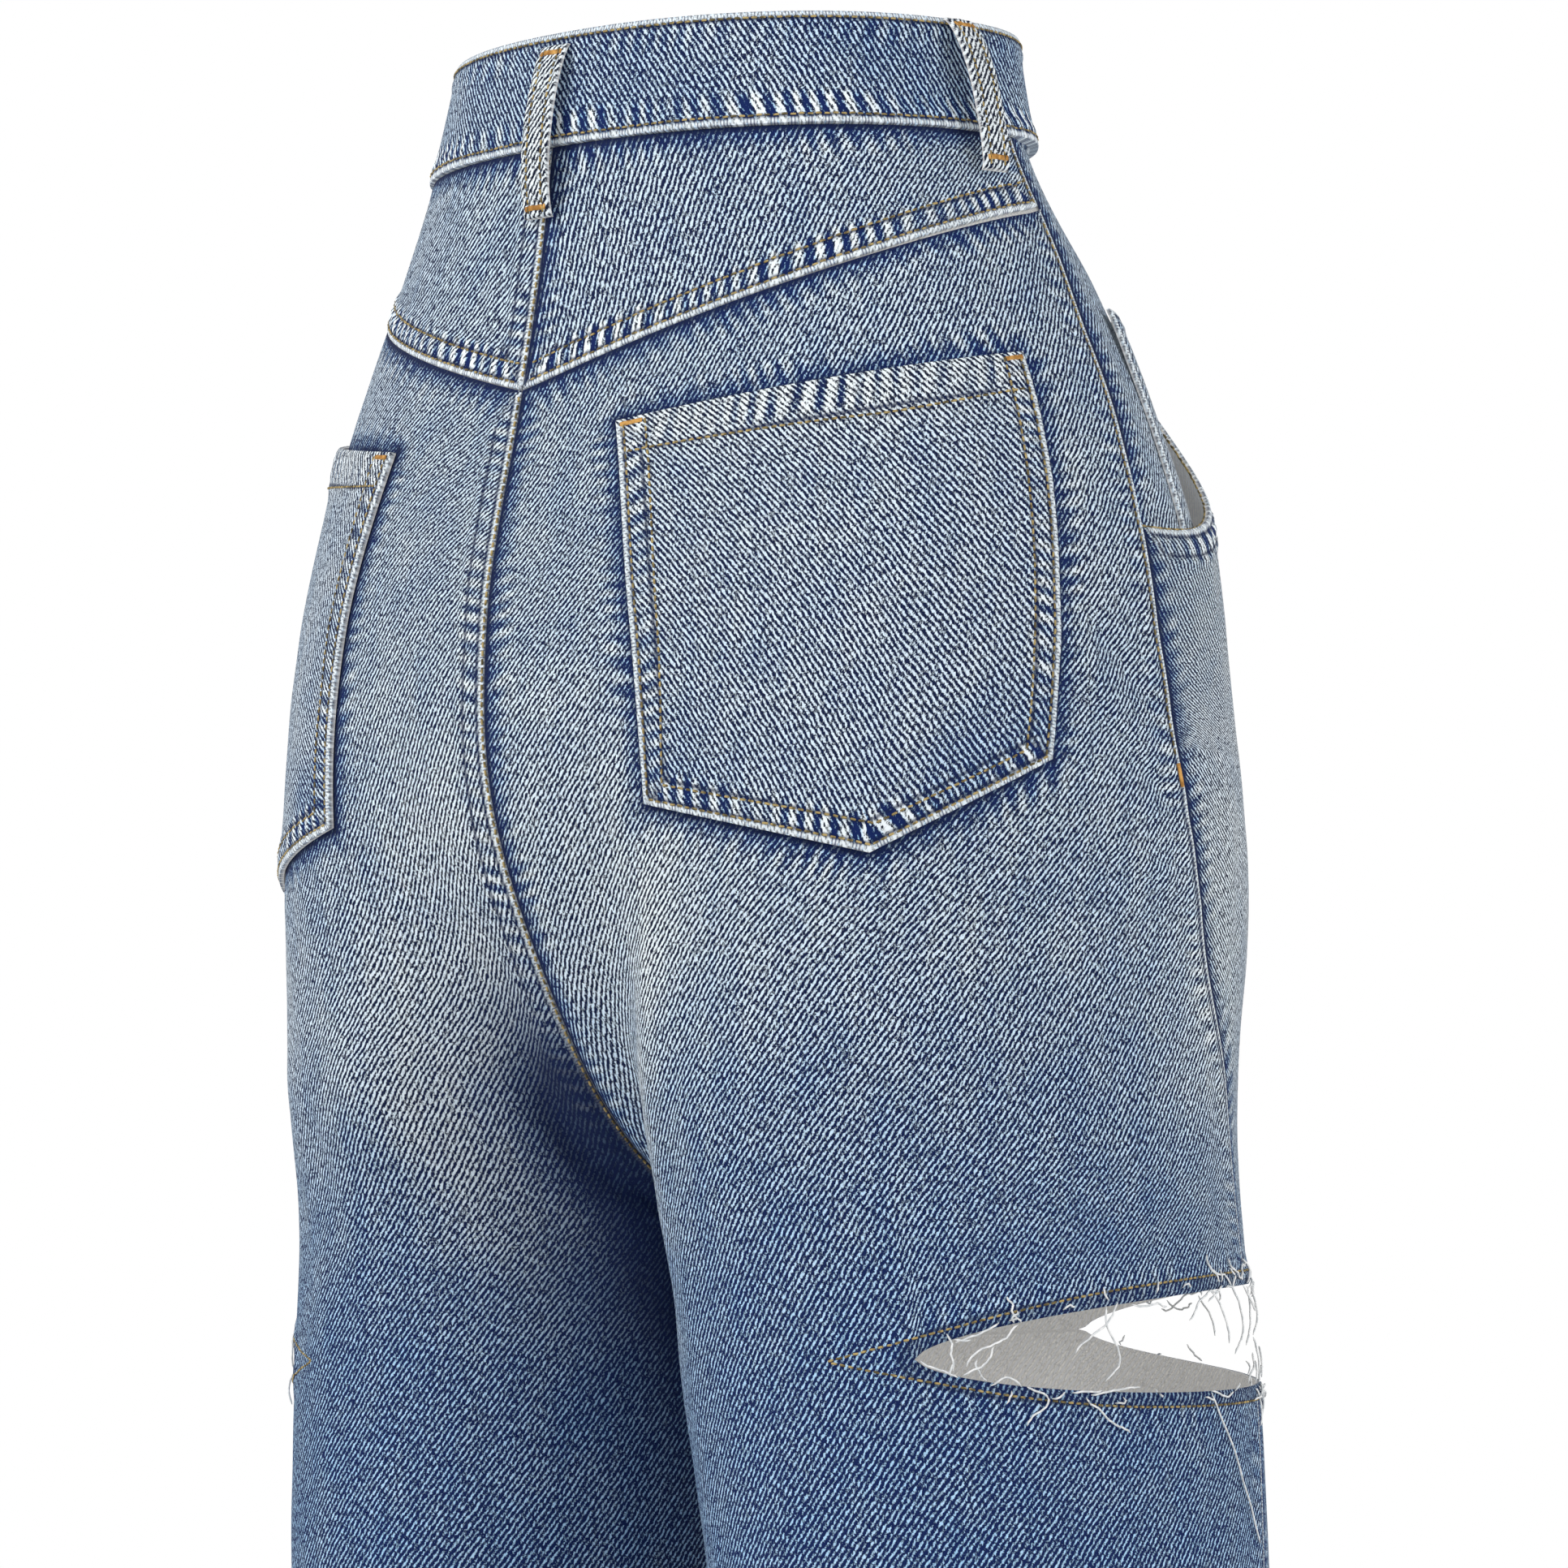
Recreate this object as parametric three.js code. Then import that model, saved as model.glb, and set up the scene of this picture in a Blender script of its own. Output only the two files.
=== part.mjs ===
// High-waisted wide-leg jeans with a slash across each thigh, in their worn, hollow shape.
// Millimetres, +Z up. The front faces -Y and the wearer's right is -X. The origin is the centre
// of the waist, halfway up the waistband.
//
// Every panel is a piece of one smooth form. A point of the form has a height z and a station s:
// -1 at the front centre or the inseam, 0 at the side, and 1 at the back centre or the inseam.
import * as THREE from 'three';

// ---- driving sizes -------------------------------------------------------------------------
const CLOTH = 1.4;              // thickness of the denim
const HALF_SEAM = 0.15;         // each piece ends this far from a seam line
const BAND_TOP = 20;
const BAND_BOTTOM = -20;
const HEM = -1020;
const BLEND_TOP = -120;         // below this the hips start to part into two legs
const CROTCH = -390;
const BLEND_POWER = 2.45;       // how late the parting comes
const CENTRE_TURN = 0.5;        // the centre seam turns under sharply into the crotch,
const SIDE_TURN = 1.4;          // while the sides run on smoothly into the legs
const ROUNDNESS = 0.92;         // 1 is an ellipse, less is squarer
const WAIST_LEAN = 0.04;        // the waist is lower at the back, mm for each mm

// z, half width, depth behind the side line, depth before it, and the side line's y
const HIPS = [
  [20, 103, 94, 76, -14],
  [-20, 115, 97, 76, -12],
  [-70, 139, 107, 92, -15],
  [-120, 161, 121, 106, -19],
  [-190, 174, 145, 119, -26],
  [-260, 176, 158, 120, -32],
  [-330, 172, 152, 112, -35],
  [-420, 170, 148, 106, -35],
];
// z, outer side's x, inner side's x, half depth, and the leg's centre y
const LEG = [
  [-150, 172, 0, 140, -25],
  [-260, 178, 0, 140, -20],
  [-330, 174, 0, 126, -17],
  [-385, 176, 0, 112, -22],
  [-440, 182, 5, 110, -25],
  [-520, 185, 18, 108, -27],
  [-640, 188, 18, 106, -38],
  [-800, 190, 22, 100, -41],
  [-1020, 190, 28, 96, -41],
];
// z, and the station of the side seam
const SIDE_SEAM = [
  [20, -0.09], [-50, -0.06], [-110, -0.01], [-200, -0.005], [-255, -0.045], [-300, -0.09],
  [-345, -0.17], [-440, -0.19], [-640, -0.16], [-1020, -0.1],
];
// The largest folds: side, from station and height, to station and height, reach, rise
const GIRTH = 240;              // mm round the cloth for each 1 of station, near enough
const FOLDS = [
  [-1, 0.72, -275, 0.67, -400, 16, 4],
  [-1, 0.88, -330, 0.72, -425, 14, -3],
  [1, 0.78, -335, 0.88, -432, 15, 5],
  [1, 0.62, -300, 0.5, -410, 18, 3],
];

// Slash across each thigh, its corners set by the station
const SLASH = { tipBack: 0.3, tipFront: -0.62, halfHeight: 17, z: -432, swing: 6, fullness: 0.6 };
// Front pocket mouth, a scoop between the waist and the side seam, and how far it gapes
const MOUTH = { width: 0.61, depth: 138, squareness: 0.8, gape: 7 };

// ---- small maths ---------------------------------------------------------------------------
const mix = (a, b, t) => a + (b - a) * t;
const clamp = (v, low, high) => Math.min(high, Math.max(low, v));
const smooth = (v) => {
  const t = clamp(v, 0, 1);
  return t * t * (3 - 2 * t);
};
const bell = (v) => Math.exp(-v * v);
const steps = (count) => Array.from({ length: count + 1 }, (_, i) => i / count);

// A smooth curve down one column of a table whose first column is z, from the top down.
function column(table, index) {
  const z = table.map((row) => row[0]);
  const value = table.map((row) => row[index]);
  const slope = z.slice(1).map((next, i) => (value[i + 1] - value[i]) / (next - z[i]));
  const tangent = z.map((_, i) => {
    if (i === 0) return slope[0];
    if (i === z.length - 1) return slope[i - 1];
    const [before, after] = [slope[i - 1], slope[i]];
    if (before * after <= 0) return 0;
    const above = z[i] - z[i - 1];
    const below = z[i + 1] - z[i];
    const middle = (before * below + after * above) / (above + below);
    const limit = 3 * Math.min(Math.abs(before), Math.abs(after));
    return Math.sign(middle) * Math.min(Math.abs(middle), limit);
  });
  return (height) => {
    const h = clamp(height, z[z.length - 1], z[0]);
    const i = clamp(z.findIndex((level) => level < h) - 1, 0, z.length - 2);
    const k = h <= z[z.length - 1] ? z.length - 2 : i;
    const span = z[k + 1] - z[k];
    const t = (h - z[k]) / span;
    return (2 * t ** 3 - 3 * t ** 2 + 1) * value[k] + (t ** 3 - 2 * t ** 2 + t) * span * tangent[k]
      + (3 * t ** 2 - 2 * t ** 3) * value[k + 1] + (t ** 3 - t ** 2) * span * tangent[k + 1];
  };
}

const hips = { half: column(HIPS, 1), back: column(HIPS, 2), front: column(HIPS, 3), side: column(HIPS, 4) };
const leg = { outer: column(LEG, 1), inner: column(LEG, 2), depth: column(LEG, 3), centre: column(LEG, 4) };
const sideCurve = column(SIDE_SEAM, 1);

// Above the last of these heights the side seam is straight between them, so that pieces whose
// rows differ still meet edge to edge.
const HIP_LEVELS = [BAND_BOTTOM, -48, -90, -132, -158, -195, -232];
function sideSeam(z) {
  const k = HIP_LEVELS.findIndex((level) => level <= z);
  if (k < 1) return sideCurve(z);
  const [above, below] = [HIP_LEVELS[k - 1], HIP_LEVELS[k]];
  return mix(sideCurve(above), sideCurve(below), (above - z) / (above - below));
}

// ---- the form ------------------------------------------------------------------------------
function legShare(s, z) {
  const q = clamp((BLEND_TOP - z) / (BLEND_TOP - CROTCH), 0, 1);
  const turn = mix(SIDE_TURN, CENTRE_TURN, smooth((Math.abs(s) - 0.5) / 0.5) ** 2);
  return 1 - (1 - q ** BLEND_POWER) ** turn;
}

// The wearer's right half of the form.
function form(s, z) {
  const turn = s * Math.PI / 2;
  const across = Math.abs(Math.cos(turn)) ** ROUNDNESS;
  const along = Math.sign(turn) * Math.abs(Math.sin(turn)) ** ROUNDNESS;
  const hipX = -hips.half(z) * across;
  const hipY = hips.side(z) + (s > 0 ? hips.back(z) : hips.front(z)) * along;
  const outer = leg.outer(z);
  const inner = leg.inner(z);
  const legX = -(outer + inner) / 2 - (outer - inner) / 2 * Math.cos(s * Math.PI);
  const legY = leg.centre(z) + leg.depth(z) * Math.sin(s * Math.PI);
  const share = legShare(s, z);
  const y = mix(hipY, legY, share);
  const lean = WAIST_LEAN * smooth((z + 150) / 130);
  return new THREE.Vector3(mix(hipX, legX, share), y, z - lean * y);
}

function normalAt(s, z) {
  const [ds, dz] = [0.002, 0.5];
  const low = clamp(s, -1 + ds, 1 - ds);
  const along = form(low + ds, z).sub(form(low - ds, z));
  const up = form(s, z + dz).sub(form(s, z - dz));
  return up.cross(along).normalize();
}

function foldRise(side, s, z) {
  let rise = 0;
  for (const [foldSide, s0, z0, s1, z1, reach, height] of FOLDS) {
    if (foldSide !== side) continue;
    const t = (z - z0) / (z1 - z0);
    const away = (s - mix(s0, s1, clamp(t, -0.2, 1.2))) * GIRTH;
    rise += height * bell(away / reach) * bell((t - 0.5) / 0.45);
  }
  return rise;
}

// A point of the cloth: side is -1 for the wearer's right and 1 for the left, and out is how far
// it stands off the form. A half that ends at the centre line stops short of it.
function cloth(side, s, z, out = 0, endsAtCentre = true) {
  const point = form(s, z).addScaledVector(normalAt(s, z), out + foldRise(side, s, z));
  if (endsAtCentre) point.x = Math.min(point.x, -HALF_SEAM);
  point.x *= -side;
  return point;
}

// A point of the ring at height z: r is 0 at the back centre, 1 and -1 at the right and left
// sides, 2 and -2 at the front centre, and may go on a little past it.
function ring(r, z, out) {
  const turn = Math.abs(r) > 2 ? r - 4 * Math.sign(r) : r;
  return cloth(turn > 0 ? -1 : 1, 1 - Math.abs(turn), z, out, false);
}

// ---- closed walls --------------------------------------------------------------------------
// Six times the volume inside the triangles, negative if they face inwards.
function signedVolume(points, triangles) {
  let volume = 0;
  for (const [a, b, c] of triangles) {
    volume += points[a].dot(new THREE.Vector3().crossVectors(points[b], points[c]));
  }
  return volume;
}

// A wall between an outer and an inner grid of points. open(i, j) leaves out the cell below row i
// and after column j, and joined(i, j) says that a point is one with the point in the row above.
function wall(rows, columns, outer, inner, { open = () => false, joined = () => false } = {}) {
  const count = rows * columns;
  const points = [];
  for (const place of [outer, inner]) {
    for (let i = 0; i < rows; i++) {
      for (let j = 0; j < columns; j++) points.push(place(i, j));
    }
  }
  const id = (i, j) => (joined(i, j) ? i - 1 : i) * columns + j;
  const triangles = [];
  const edges = new Map();
  for (let i = 0; i < rows - 1; i++) {
    for (let j = 0; j < columns - 1; j++) {
      if (open(i, j)) continue;
      const corners = [id(i, j), id(i + 1, j), id(i + 1, j + 1), id(i, j + 1)];
      const [a, b, c, d] = corners;
      const short = points[a].distanceTo(points[c]) < points[b].distanceTo(points[d]);
      const halves = short ? [[a, b, c], [a, c, d]] : [[a, b, d], [b, c, d]];
      for (const half of halves) {
        if (new Set(half).size < 3) continue;
        triangles.push(half);
        triangles.push([half[2] + count, half[1] + count, half[0] + count]);
        half.forEach((from, k) => {
          const to = half[(k + 1) % 3];
          if (!edges.delete(`${to},${from}`)) edges.set(`${from},${to}`, [from, to]);
        });
      }
    }
  }
  for (const [from, to] of edges.values()) {
    triangles.push([to, from, from + count]);
    triangles.push([to, from + count, to + count]);
  }
  const used = [...new Set(triangles.flat())].sort((a, b) => a - b);
  const place = new Map(used.map((point, k) => [point, k]));
  const geometry = new THREE.BufferGeometry();
  const numbers = used.flatMap((point) => points[point].toArray());
  geometry.setAttribute('position', new THREE.Float32BufferAttribute(numbers, 3));
  const inward = signedVolume(points, triangles) < 0;
  const turned = triangles.map((t) => (inward ? [t[0], t[2], t[1]] : t));
  geometry.setIndex(turned.flat().map((point) => place.get(point)));
  geometry.computeVertexNormals();
  return geometry;
}

// A panel from places(i, j) = [s, z], its outer face standing out(s, z) off the form.
function panel(side, rows, columns, places, out, thickness, options = {}) {
  const point = (depth) => (i, j) => {
    const [s, z] = places(i, j);
    return cloth(side, s, z, out(s, z) - depth);
  };
  return wall(rows, columns, point(0), point(thickness), options);
}

// ---- materials -----------------------------------------------------------------------------
const fabric = (color) => new THREE.MeshStandardMaterial({ color, roughness: 0.92, metalness: 0 });
const denim = fabric(0x8b9dbc);
const fadedDenim = fabric(0x9dacc6);
const thread = fabric(0xe4e2db);
const brass = new THREE.MeshStandardMaterial({ color: 0xa98a58, roughness: 0.35, metalness: 1 });

const jeans = new THREE.Group();
function add(name, geometry, material) {
  const mesh = new THREE.Mesh(geometry, material);
  mesh.name = name;
  jeans.add(mesh);
  return mesh;
}
const SIDES = [['right', -1], ['left', 1]];

// ---- heights of the rows -------------------------------------------------------------------
const yokeSeam = (s) => -(48 + 40 * s + 20 * s * s);
const slashMiddle = (s) => SLASH.z - SLASH.swing * Math.sin(Math.PI * s);
function slashHalf(s) {
  const centre = (SLASH.tipBack + SLASH.tipFront) / 2;
  const reach = (SLASH.tipBack - SLASH.tipFront) / 2;
  return SLASH.halfHeight * Math.max(0, 1 - ((s - centre) / reach) ** 2) ** SLASH.fullness;
}
// Rows between the hips and the crotch crowd together as the legs part.
const partingRows = [30, 40, 50, 60, 70, 80, 90].map((degrees) => {
  const share = Math.sin(degrees * Math.PI / 180) ** (2 / BLEND_POWER);
  return mix(BLEND_TOP, CROTCH, share);
});
partingRows.unshift(HIP_LEVELS.at(-1));
const LEG_ROWS = [-490, -540, -600, -690, -800, -910, HEM];
const SLASH_UPPER = partingRows.length;
// Row heights below the yoke or the pocket mouth: the crotch, then the slash's two edges, then
// the leg down to the hem.
function lowerRow(k, s) {
  if (k < SLASH_UPPER) return partingRows[k];
  if (k === SLASH_UPPER) return slashMiddle(s) + slashHalf(s);
  if (k === SLASH_UPPER + 1) return slashMiddle(s) - slashHalf(s);
  return LEG_ROWS[k - SLASH_UPPER - 2];
}
const LOWER_ROWS = SLASH_UPPER + 2 + LEG_ROWS.length;
const EDGE = 0.0005;            // a panel's edge in stations, about half a seam gap

// ---- back panels ---------------------------------------------------------------------------
const BACK_COLUMNS = [...steps(7).map((t) => 0.414 * t), ...steps(9).slice(1).map((t) => mix(0.414, 1, t))];
const BACK_TIP = 7;             // the column that ends the slash
const BACK_LEVELS = HIP_LEVELS.slice(3, -1);
function backPanel(side) {
  const hipRows = BACK_LEVELS.length + 2;
  const station = (j, z) => mix(sideSeam(z) + EDGE, 1 - EDGE, BACK_COLUMNS[j]);
  const places = (i, j) => {
    if (i < hipRows) {
      const top = yokeSeam(station(j, -80)) - HALF_SEAM;
      const z = i < 2 ? mix(top, BACK_LEVELS[0], i / 2) : BACK_LEVELS[i - 2];
      return [station(j, z), z];
    }
    const guess = slashAt(j, station);
    const z = lowerRow(i - hipRows, guess);
    return [i - hipRows === SLASH_UPPER || i - hipRows === SLASH_UPPER + 1 ? guess : station(j, z), z];
  };
  const upper = hipRows + SLASH_UPPER;
  return panel(side, hipRows + LOWER_ROWS, BACK_COLUMNS.length, places, () => 0, CLOTH, {
    open: (i) => i === upper,
    joined: (i, j) => i === upper + 1 && j >= BACK_TIP,
  });
}
// The station of column j where it meets the slash. The tip's column is exact.
function slashAt(j, station) {
  const s = station(j, SLASH.z);
  if (Math.abs(s - SLASH.tipBack) < 0.02) return SLASH.tipBack;
  return Math.abs(s - SLASH.tipFront) < 0.02 ? SLASH.tipFront : s;
}

// ---- front panels --------------------------------------------------------------------------
// Columns run from the front centre to the side. v is 1 at the centre and 0 at the side seam.
const FRONT_TIP = 6;
const slashColumns = [...steps(6).map((t) => mix(1, 0.53, t)), ...steps(7).slice(1).map((t) => mix(0.53, 0, t))];
const mouthColumns = [
  ...steps(6).map((t) => mix(1, MOUTH.width, t)),
  ...steps(7).slice(1).map((t) => MOUTH.width * Math.cos(t * Math.PI / 2) ** MOUTH.squareness),
];
const frontStation = (v, z) => mix(sideSeam(z) - EDGE, -1 + EDGE, v);
const mouthHeight = (j) => {
  const t = Math.max(0, (j - 6) / 7);
  return BAND_BOTTOM - HALF_SEAM - MOUTH.depth * Math.sin(t * Math.PI / 2) ** MOUTH.squareness;
};
// How far the front stands away beside the pocket mouth.
function mouthGape(s, z) {
  const power = 2 / MOUTH.squareness;
  const seam = sideSeam(z);
  const v = clamp((seam - s) / (1 + seam) / MOUTH.width, 0, 3);
  const down = clamp((BAND_BOTTOM - z) / MOUTH.depth, 0, 3);
  const distance = (v ** power + down ** power) ** (1 / power) - 1;
  return MOUTH.gape * bell(Math.max(0, distance) / 0.28) * Math.sin(2 * Math.atan2(down, v)) ** 2;
}
const FRONT_HIP_ROWS = 7;
function frontPanel(side) {
  const hipRows = FRONT_HIP_ROWS;
  const places = (i, j) => {
    if (i < hipRows) {
      const z = mix(mouthHeight(j), partingRows[0], i / hipRows);
      return [frontStation(mix(mouthColumns[j], slashColumns[j], smooth(i / hipRows)), z), z];
    }
    const k = i - hipRows;
    const station = (column, z) => frontStation(slashColumns[column], z);
    const guess = slashAt(j, station);
    const z = lowerRow(k, guess);
    return [k === SLASH_UPPER || k === SLASH_UPPER + 1 ? guess : station(j, z), z];
  };
  const upper = hipRows + SLASH_UPPER;
  return panel(side, hipRows + LOWER_ROWS, slashColumns.length, places, mouthGape, CLOTH, {
    open: (i) => i === upper,
    joined: (i, j) => i === upper + 1 && j <= FRONT_TIP,
  });
}

// ---- yokes ---------------------------------------------------------------------------------
function yoke(side) {
  const columns = 13;
  const places = (i, j) => {
    const s = mix(sideSeam(-35) + EDGE, 1 - EDGE, j / (columns - 1));
    const z = mix(BAND_BOTTOM - HALF_SEAM, yokeSeam(s) + HALF_SEAM, i / 4);
    return [j === 0 ? sideSeam(z) + EDGE : s, z];
  };
  return panel(side, 5, columns, places, () => 0, CLOTH);
}

// ---- waistband -----------------------------------------------------------------------------
// One doubled strip round the waist. Its left end laps over its right end at the front.
const BAND = { out: 1.2, thickness: 3, lap: 0.1, ramp: 0.3, columns: 44 };
function waistband() {
  const lift = (r) => (BAND.thickness + 2 * HALF_SEAM) * smooth((-2 + BAND.ramp - r) / (BAND.ramp - BAND.lap));
  const point = (depth) => (i, j) => {
    const r = mix(-2 - BAND.lap, 2 + BAND.lap, j / BAND.columns);
    const z = mix(BAND_BOTTOM + HALF_SEAM, BAND_TOP, 1 - i / 2);
    return ring(r, z, BAND.out - depth + lift(r));
  };
  return wall(3, BAND.columns + 1, point(0), point(BAND.thickness));
}

// ---- pockets -------------------------------------------------------------------------------
// Patch pocket: stations and heights of its corners. The left one is sewn a little farther out.
const PATCH = {
  top: [0.84, -124, 0.16, -102],
  bottom: [0.735, -254, 0.175, -240],
  tip: 0.62,
  drop: 27,
  lift: 0.5,
  shift: { right: 0, left: -0.08 },
};
function backPocket(name, side) {
  const inner = steps(5).map((t) => PATCH.tip * t);
  const across = [...inner, ...steps(4).slice(1).map((t) => mix(PATCH.tip, 1, t))];
  const places = (i, j) => {
    const u = across[j];
    const v = i / 7;
    const point = u < PATCH.tip ? u / PATCH.tip : (1 - u) / (1 - PATCH.tip);
    const s = mix(mix(PATCH.top[0], PATCH.bottom[0], v), mix(PATCH.top[2], PATCH.bottom[2], v), u);
    const top = mix(PATCH.top[1], PATCH.top[3], u);
    const bottom = mix(PATCH.bottom[1], PATCH.bottom[3], u) - PATCH.drop * point;
    return [s + PATCH.shift[name], mix(top, bottom, v)];
  };
  return panel(side, 8, across.length, places, () => PATCH.lift + CLOTH, CLOTH);
}

// Facing that closes the front pocket's mouth from behind, and the coin pocket on the right one.
const FACING = { depth: 3.1, width: 0.67, bottom: -178, cells: 8, inset: 0.002 };
function facingOut(s, z) {
  const seam = sideSeam(z);
  const v = (seam - s) / (1 + seam);
  return -FACING.depth * Math.max(smooth(v / 0.17), smooth((-132 - z) / 20));
}
function facingPlace(i, j) {
  const z = mix(BAND_BOTTOM - HALF_SEAM, FACING.bottom, i / FACING.cells);
  return [frontStation(mix(FACING.width, FACING.inset, j / FACING.cells), z), z];
}
function facing(side) {
  return panel(side, FACING.cells + 1, FACING.cells + 1, facingPlace, facingOut, CLOTH);
}
// The coin pocket lies on the facing's own points, from its third row to its seventh.
const COIN = { firstRow: 3, rows: 5, columns: 7, thickness: 1, gape: 2 };
function coinPocket(side) {
  const places = (i, j) => facingPlace(COIN.firstRow + i, j);
  const top = places(0, 0)[1];
  const out = (s, z) => {
    const opening = bell((top - z) / 22) * smooth((s + 0.5) / 0.25);
    return facingOut(s, z) + 2 * HALF_SEAM + COIN.thickness + COIN.gape * opening;
  };
  return panel(side, COIN.rows, COIN.columns, places, out, COIN.thickness);
}

// ---- belt loops ----------------------------------------------------------------------------
// A strip that stands off the waistband between its two sewn ends.
const LOOP = { width: 12, thickness: 1.8, arch: 7.5, top: 19, bottom: -36, foot: 1.6, footBelow: 2.2 };
// The loop at the back centre is longer and lies closer.
const BACK_LOOP = { top: 15, bottom: -46, arch: 5.5 };
function beltLoop(r, { top = LOOP.top, bottom = LOOP.bottom, arch = LOOP.arch } = {}) {
  const rows = 13;
  const across = ring(r + 0.02, 0, 0).sub(ring(r - 0.02, 0, 0)).normalize();
  const point = (depth) => (i, j) => {
    const t = i / (rows - 1);
    const out = mix(LOOP.foot, LOOP.footBelow, t) + arch * Math.sin(Math.PI * t) ** 0.6;
    const middle = ring(r, mix(top, bottom, t), out + LOOP.thickness - depth);
    return middle.addScaledVector(across, (j - 0.5) * LOOP.width);
  };
  return wall(rows, 2, point(0), point(LOOP.thickness));
}

// ---- front closing -------------------------------------------------------------------------
// A strip behind the front centre line, on the first rows and columns of the front panels.
const FLY = { rows: 6, thickness: 1.2 };
function fly() {
  const point = (depth) => (i, j) => {
    const z = mix(BAND_BOTTOM - HALF_SEAM, partingRows[0], i / FRONT_HIP_ROWS);
    const r = 2 - (j - 1) * (1 - mouthColumns[1]);
    return ring(r, z, -CLOTH - 2 * HALF_SEAM - depth);
  };
  return wall(FLY.rows, 3, point(0), point(FLY.thickness));
}
const BUTTON = { radius: 8.5, height: 4.2, shank: 3, shankLength: 1.4, edge: 1.2 };
function button() {
  const { radius, height, shank, shankLength, edge } = BUTTON;
  const profile = [
    [0, 0], [shank, 0], [shank, shankLength], [radius - edge, shankLength], [radius, shankLength + edge],
    [radius - edge, height], [radius * 0.7, height], [radius * 0.6, height - 0.6], [0, height - 0.6],
  ];
  const lathe = new THREE.LatheGeometry(profile.map(([x, y]) => new THREE.Vector2(x, y)), 24);
  return lathe.rotateX(Math.PI);
}

// ---- frayed edge of a slash ----------------------------------------------------------------
// The plain form that the loose threads under the upper edge reach.
const FRAY = { from: -0.05, to: -0.56, reach: 8, share: 0.6, thickness: 1 };
function fray(side) {
  const columns = 15;
  const places = (i, j) => {
    const s = mix(FRAY.to, FRAY.from, j / (columns - 1));
    const edge = slashMiddle(s) + slashHalf(s) - 2 * HALF_SEAM;
    const reach = Math.min(FRAY.reach, FRAY.share * slashHalf(s));
    return [s, edge - i * reach];
  };
  return panel(side, 2, columns, places, () => -HALF_SEAM, FRAY.thickness);
}

// ---- the garment ---------------------------------------------------------------------------
add('waistband', waistband(), denim);
for (const [name, side] of SIDES) {
  add(`yoke_${name}`, yoke(side), denim);
  add(`back_${name}`, backPanel(side), denim);
  add(`front_${name}`, frontPanel(side), denim);
  add(`back_pocket_${name}`, backPocket(name, side), fadedDenim);
  add(`pocket_facing_${name}`, facing(side), denim);
  add(`belt_loop_back_${name}`, beltLoop(-side * 0.95), denim);
  add(`belt_loop_front_${name}`, beltLoop(-side * 1.7), denim);
  add(`fray_${name}`, fray(side), thread);
}
add('belt_loop_back', beltLoop(0, BACK_LOOP), denim);
add('coin_pocket', coinPocket(-1), denim);
add('fly', fly(), denim);
const front = ring(2, 0, BAND.out + BAND.thickness + 4 * HALF_SEAM);
add('button', button(), brass).position.copy(front);

export default jeans;
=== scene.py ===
"""High-waisted wide-leg jeans with a slash across each thigh, in worn denim.

The cloth follows the same form as the CAD panels. A point of the form has a station s and a
height z: s is -1 at the front centre or the inseam, 0 at the side, and 1 at the back centre or
the inseam. The form's own numbers are millimetres, and every mesh is written in metres.
"""
import math

import bpy
import numpy as np
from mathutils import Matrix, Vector
from mathutils.bvhtree import BVHTree


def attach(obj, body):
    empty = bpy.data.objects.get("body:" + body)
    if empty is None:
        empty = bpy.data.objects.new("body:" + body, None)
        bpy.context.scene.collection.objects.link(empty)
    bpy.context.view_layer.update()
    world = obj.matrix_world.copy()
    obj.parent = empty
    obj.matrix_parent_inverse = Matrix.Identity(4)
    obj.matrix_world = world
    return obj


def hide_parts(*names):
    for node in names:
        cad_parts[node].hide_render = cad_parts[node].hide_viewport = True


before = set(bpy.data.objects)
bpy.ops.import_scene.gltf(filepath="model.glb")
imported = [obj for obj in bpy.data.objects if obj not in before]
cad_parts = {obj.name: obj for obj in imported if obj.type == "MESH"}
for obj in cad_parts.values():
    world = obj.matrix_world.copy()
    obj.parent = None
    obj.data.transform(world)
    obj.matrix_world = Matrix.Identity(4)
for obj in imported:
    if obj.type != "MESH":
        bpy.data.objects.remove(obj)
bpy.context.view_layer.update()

MM = 0.001

# ---- the form, as in the CAD part --------------------------------------------------------
CLOTH = 1.4
HALF_SEAM = 0.15
BAND_TOP, BAND_BOTTOM, HEM = 20.0, -20.0, -1020.0
BLEND_TOP, CROTCH, BLEND_POWER = -120.0, -390.0, 2.45
CENTRE_TURN, SIDE_TURN = 0.5, 1.4
ROUNDNESS = 0.92
WAIST_LEAN = 0.04
# z, half width, depth behind the side line, depth before it, and the side line's y
HIPS = [
    (20, 103, 94, 76, -14), (-20, 115, 97, 76, -12), (-70, 139, 107, 92, -15),
    (-120, 161, 121, 106, -19), (-190, 174, 145, 119, -26), (-260, 176, 158, 120, -32),
    (-330, 172, 152, 112, -35), (-420, 170, 148, 106, -35),
]
# z, outer side's x, inner side's x, half depth, and the leg's centre y
LEG = [
    (-150, 172, 0, 140, -25), (-260, 178, 0, 140, -20), (-330, 174, 0, 126, -17),
    (-385, 176, 0, 112, -22), (-440, 182, 5, 110, -25), (-520, 185, 18, 108, -27),
    (-640, 188, 18, 106, -38), (-800, 190, 22, 100, -41), (-1020, 190, 28, 96, -41),
]
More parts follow.
